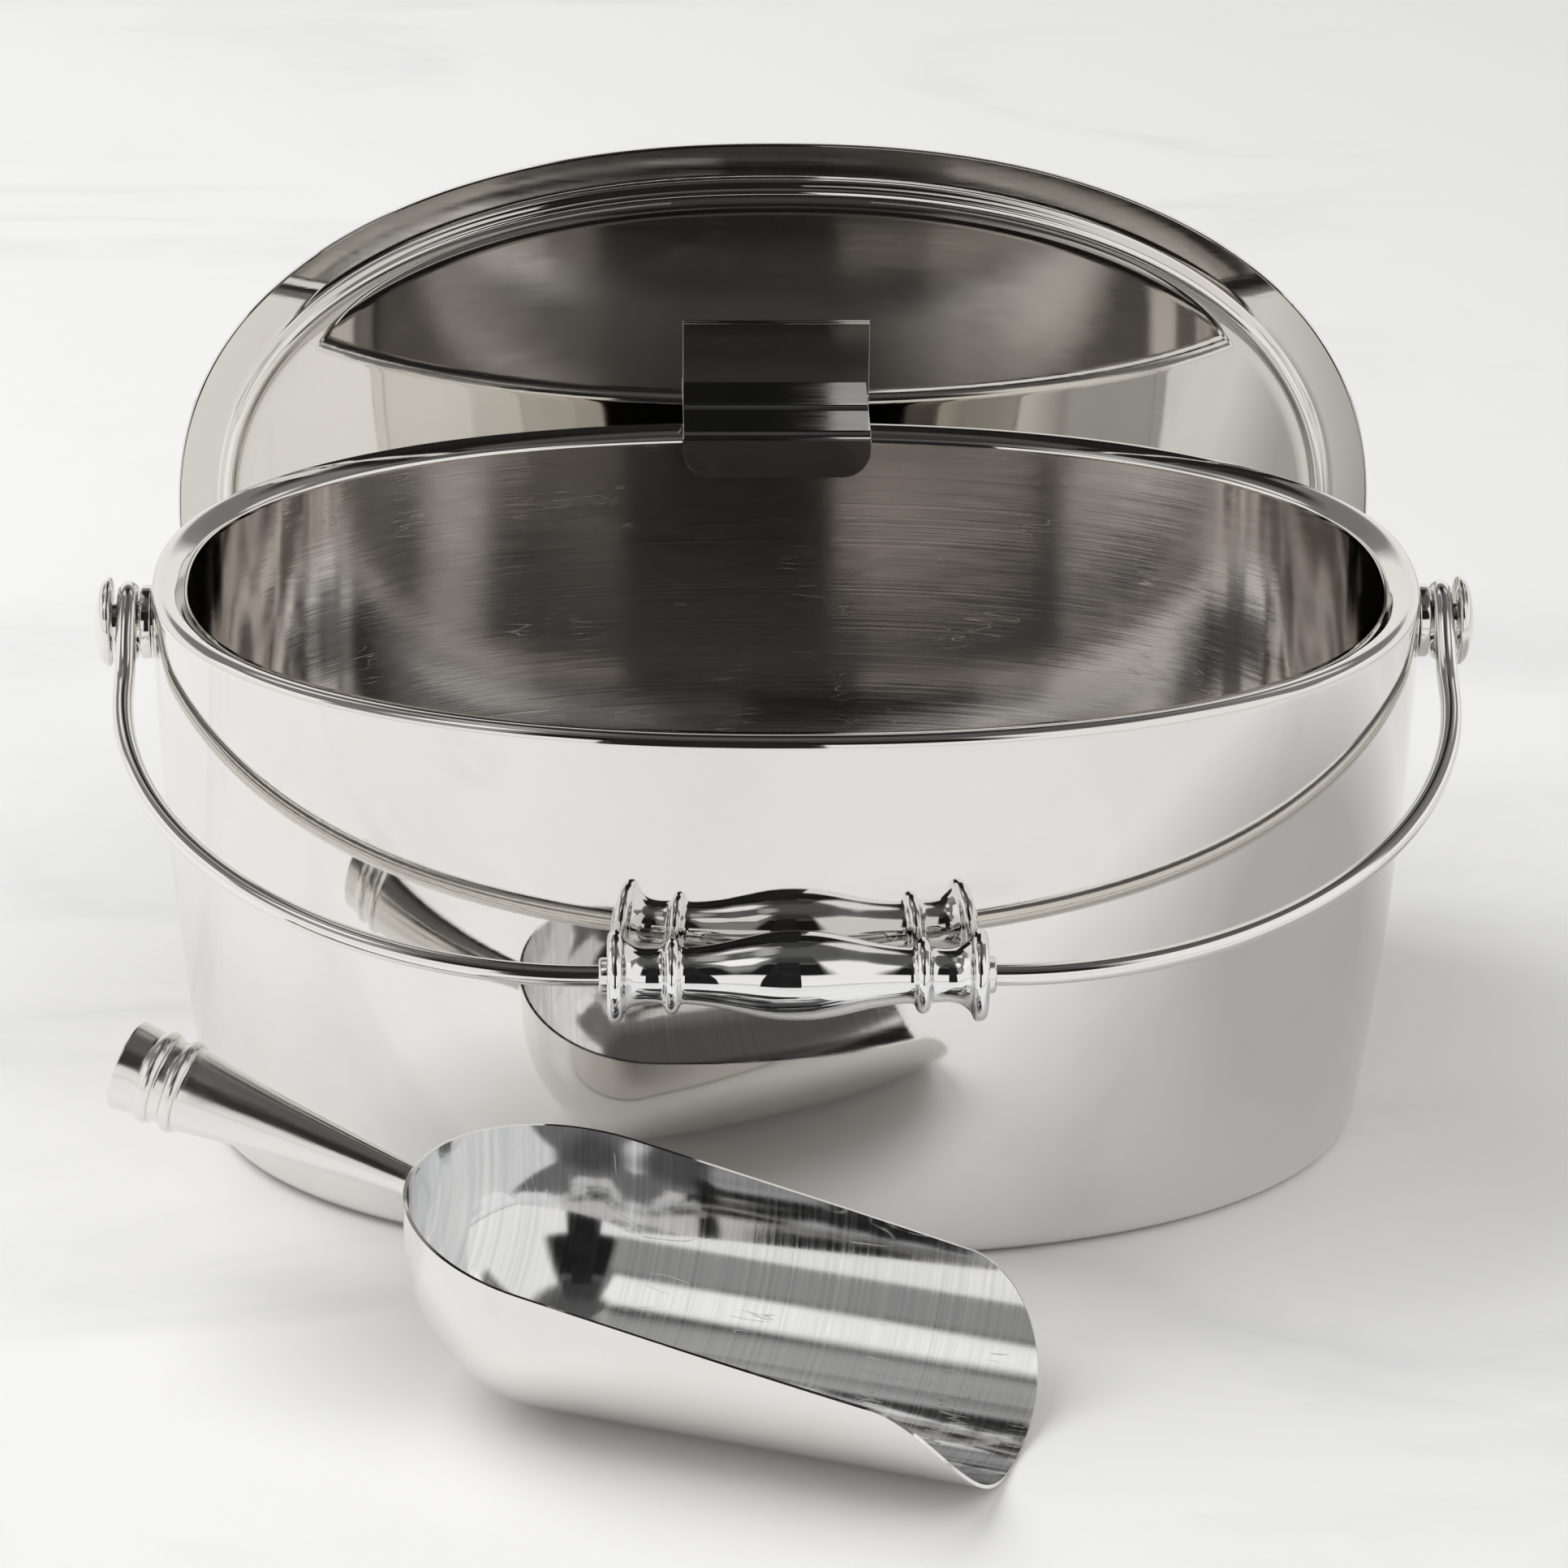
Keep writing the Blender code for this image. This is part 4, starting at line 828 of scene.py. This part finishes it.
# A dark stand in front of the bucket, and a glowing grey patch on the table to its right: painted shade that
# darkens the table as the metal reflects it. They show only in reflections
STAND_SIZE = (0.38, 1.55)
STAND_CENTRE = Vector((-0.13, -1.0, 0.79))
SHADE_GLOW_SIZE = (0.52, 0.46)
# Painted shade: a glowing grey patch that darkens the reflected table
SHADE_GLOW_CENTRE = Vector((0.30, -0.07, 0.0012))
SHADE_GLOW_LEVEL = 0.42
SHADE_GLOW_LEVEL_SPREAD = 0.04
SHADE_GLOW_TINT = 0.98
TABLE_REACH = 6.0
MARBLE = (0.86, 0.86, 0.86)
MARBLE_VEIN = (0.70, 0.70, 0.71)
VEIN_TURN = 0.45
VEIN_STRENGTH = 0.8
CLOTH = (0.03, 0.03, 0.03)
CLOTH_DARK = (0.004, 0.004, 0.004)
KEY_SIZE = (2.6, 2.0)
KEY_PLACE = (-1.5, 0.4, 2.2)
KEY_WATTS = 51
FILL_SIZE = (2.4, 2.0)
FILL_PLACE = (0.7, -1.0, 2.2)
FILL_WATTS = 19
# The camera: focal length and sensor width in millimetres, its place, its right and its up
LENS = 135.03
SENSOR_WIDTH = 36
CLIP_END = 50
CAMERA_PLACE = Vector((-0.0485, -1.5467, 0.8026))
CAMERA_RIGHT = Vector((0.99959, -0.02669, 0.01005))
CAMERA_UP = Vector((0.00191, 0.41407, 0.91024))


def marble():
    n = Nodes(bpy.data.materials.new("pale_table"))
    warp = n.noise((2.2, 3.4, 1), 1.0, 5.0, 0.6)
    veins = n.add("ShaderNodeTexNoise")
    veins.inputs["Scale"].default_value = 1.0
    veins.inputs["Detail"].default_value = 6.0
    veins.inputs["Distortion"].default_value = 1.1
    n.link(n.coordinates((1.6, 4.2, 1), (0, 0, VEIN_TURN)), veins.inputs["Vector"])
    ridge = n.math("ABSOLUTE", n.math("SUBTRACT", veins.outputs["Fac"], 0.5), 0.0)
    vein = n.math("MULTIPLY", n.spread(ridge, 0.0, 0.06, 1.0, 0.0), n.spread(warp, 0.45, 0.7, 0.0, 1.0))
    shade = n.math("MULTIPLY", vein, VEIN_STRENGTH)
    n.link(n.blend(shade, MARBLE, MARBLE_VEIN), n.shader.inputs["Base Color"])
    n.shader.inputs["Roughness"].default_value = 0.45
    n.shader.inputs["Specular IOR Level"].default_value = 0.25
    return n.owner


def flat_card(name, size, place, material):
    mesh = bpy.data.meshes.new(name)
    x, y = size[0] / 2, size[1] / 2
    mesh.from_pydata([(-x, -y, 0), (x, -y, 0), (x, y, 0), (-x, y, 0)], [], [(0, 1, 2, 3)])
    mesh.materials.append(material)
    card = bpy.data.objects.new(name, mesh)
    card.matrix_world = place
    bpy.context.collection.objects.link(card)
    return card


def unseen_card(name, size, place, material):
    """A card that shows only in reflections."""
    card = flat_card(name, size, place, material)
    card.visible_camera = False
    card.visible_diffuse = False
    card.visible_shadow = False


def stand_cloth():
    n = Nodes(bpy.data.materials.new("stand_cloth"))
    cloud = n.noise((3, 3, 3), 1.0, 3.0)
    n.link(n.blend(cloud, CLOTH_DARK, CLOTH), n.shader.inputs["Base Color"])
    n.shader.inputs["Roughness"].default_value = 0.9
    n.shader.inputs["Specular IOR Level"].default_value = 0.0
    return n.owner


def shade_glow_patch():
    """Painted shade for reflections: a glowing grey, mid grey in the middle and clear at the edge."""
    n = Nodes(bpy.data.materials.new("shade_glow_patch"))
    gradient = n.add("ShaderNodeTexGradient", gradient_type="SPHERICAL")
    n.link(n.coordinates((2 / SHADE_GLOW_SIZE[0], 2 / SHADE_GLOW_SIZE[1], 1)), gradient.inputs["Vector"])
    n.link(n.spread(gradient.outputs["Fac"], 0.0, 0.6, 0.0, 0.95), n.shader.inputs["Alpha"])
    n.shader.inputs["Base Color"].default_value = (0, 0, 0, 1)
    n.shader.inputs["Specular IOR Level"].default_value = 0.0
    # Painted shade: the glow's grey stands in for the shaded table seen in reflections
    dark = (SHADE_GLOW_LEVEL, SHADE_GLOW_LEVEL, SHADE_GLOW_LEVEL * SHADE_GLOW_TINT)
    light = (SHADE_GLOW_LEVEL + SHADE_GLOW_LEVEL_SPREAD,) * 3
    n.link(n.blend(n.noise((6, 6, 6)), dark, light), n.shader.inputs["Emission Color"])
    n.shader.inputs["Emission Strength"].default_value = 1.0
    return n.owner


def area_light(name, size, location, target, power):
    """A soft light that leaves no reflection of its own."""
    data = bpy.data.lights.new(name, "AREA")
    data.shape = "RECTANGLE"
    data.size, data.size_y = size
    data.energy = power
    light = bpy.data.objects.new(name, data)
    light.location = location
    direction = Vector(target) - Vector(location)
    light.rotation_euler = direction.to_track_quat("-Z", "Y").to_euler()
    light.visible_glossy = False
    bpy.context.collection.objects.link(light)


def sky():
    """A pale horizon under a dark ceiling, dark behind the camera, with windows to the sides."""
    world = bpy.data.worlds.new("studio")
    bpy.context.scene.world = world
    n = Nodes(world)
    split = n.add("ShaderNodeSeparateXYZ")
    n.link(n.add("ShaderNodeTexCoord").outputs["Generated"], split.inputs["Vector"])
    x, y, z = split.outputs
    turn = n.math("MULTIPLY", n.math("ARCTAN2", x, n.math("MULTIPLY", y, -1.0)), 180 / math.pi)
    light = n.ramp(z, SKY_LEVELS)
    for direction, half, low, high, level in SKY_PATCHES:
        off = n.math("ABSOLUTE", n.math("SUBTRACT", turn, direction), 0.0)
        across = n.spread(off, half - SKY_EDGE_DEG, half + SKY_EDGE_DEG, 1.0, 0.0)
        upward = n.math("MULTIPLY", n.spread(z, low, low + SKY_EDGE_HEIGHT, 0.0, 1.0),
                        n.spread(z, high - SKY_EDGE_HEIGHT, high, 1.0, 0.0))
        light = n.mix(n.math("MULTIPLY", across, upward), light, level)
    background = n.tree.nodes["Background"]
    n.link(n.blend(light, (0, 0, 0), SKY_TINT), background.inputs["Color"])
    background.inputs["Strength"].default_value = 1.0


def studio():
    flat_card("table", (2 * TABLE_REACH, 2 * TABLE_REACH), Matrix.Identity(4), marble())
    sky()
    upright = Matrix.Rotation(math.pi / 2, 4, "X")
    unseen_card("dark_stand", STAND_SIZE, Matrix.Translation(STAND_CENTRE) @ upright, stand_cloth())
    # Glowing grey patch: painted shade on the table, seen only in reflections
    unseen_card("shade_glow_patch", SHADE_GLOW_SIZE, Matrix.Translation(SHADE_GLOW_CENTRE), shade_glow_patch())
    area_light("key_light", KEY_SIZE, KEY_PLACE, (0, 0, 0), KEY_WATTS)
    area_light("fill_light", FILL_SIZE, FILL_PLACE, (0, 0, 0), FILL_WATTS)


def camera():
    data = bpy.data.cameras.new("camera")
    data.lens = LENS
    data.sensor_width = SENSOR_WIDTH
    data.clip_end = CLIP_END
    back = CAMERA_RIGHT.cross(CAMERA_UP).normalized()
    matrix = Matrix((CAMERA_RIGHT, CAMERA_UP, back)).transposed().to_4x4()
    matrix.translation = CAMERA_PLACE
    obj = bpy.data.objects.new("camera", data)
    obj.matrix_world = matrix
    bpy.context.collection.objects.link(obj)
    scene = bpy.context.scene
    scene.camera = obj
    scene.view_settings.view_transform = "Standard"
    scene.cycles.glossy_bounces = GLOSSY_BOUNCES


bucket()
pivots()
bail()
at_lid = lid_place()
lid_shells(at_lid)
lid_hook(at_lid)
lid_handle(at_lid)
scoop()
for node_name in ("left_backing_plate", "right_backing_plate", "left_stud_nut", "right_stud_nut",
                  "left_handle_nut", "right_handle_nut"):
    for material_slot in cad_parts[node_name].material_slots:
        material_slot.material = zinc_steel
studio()
camera()
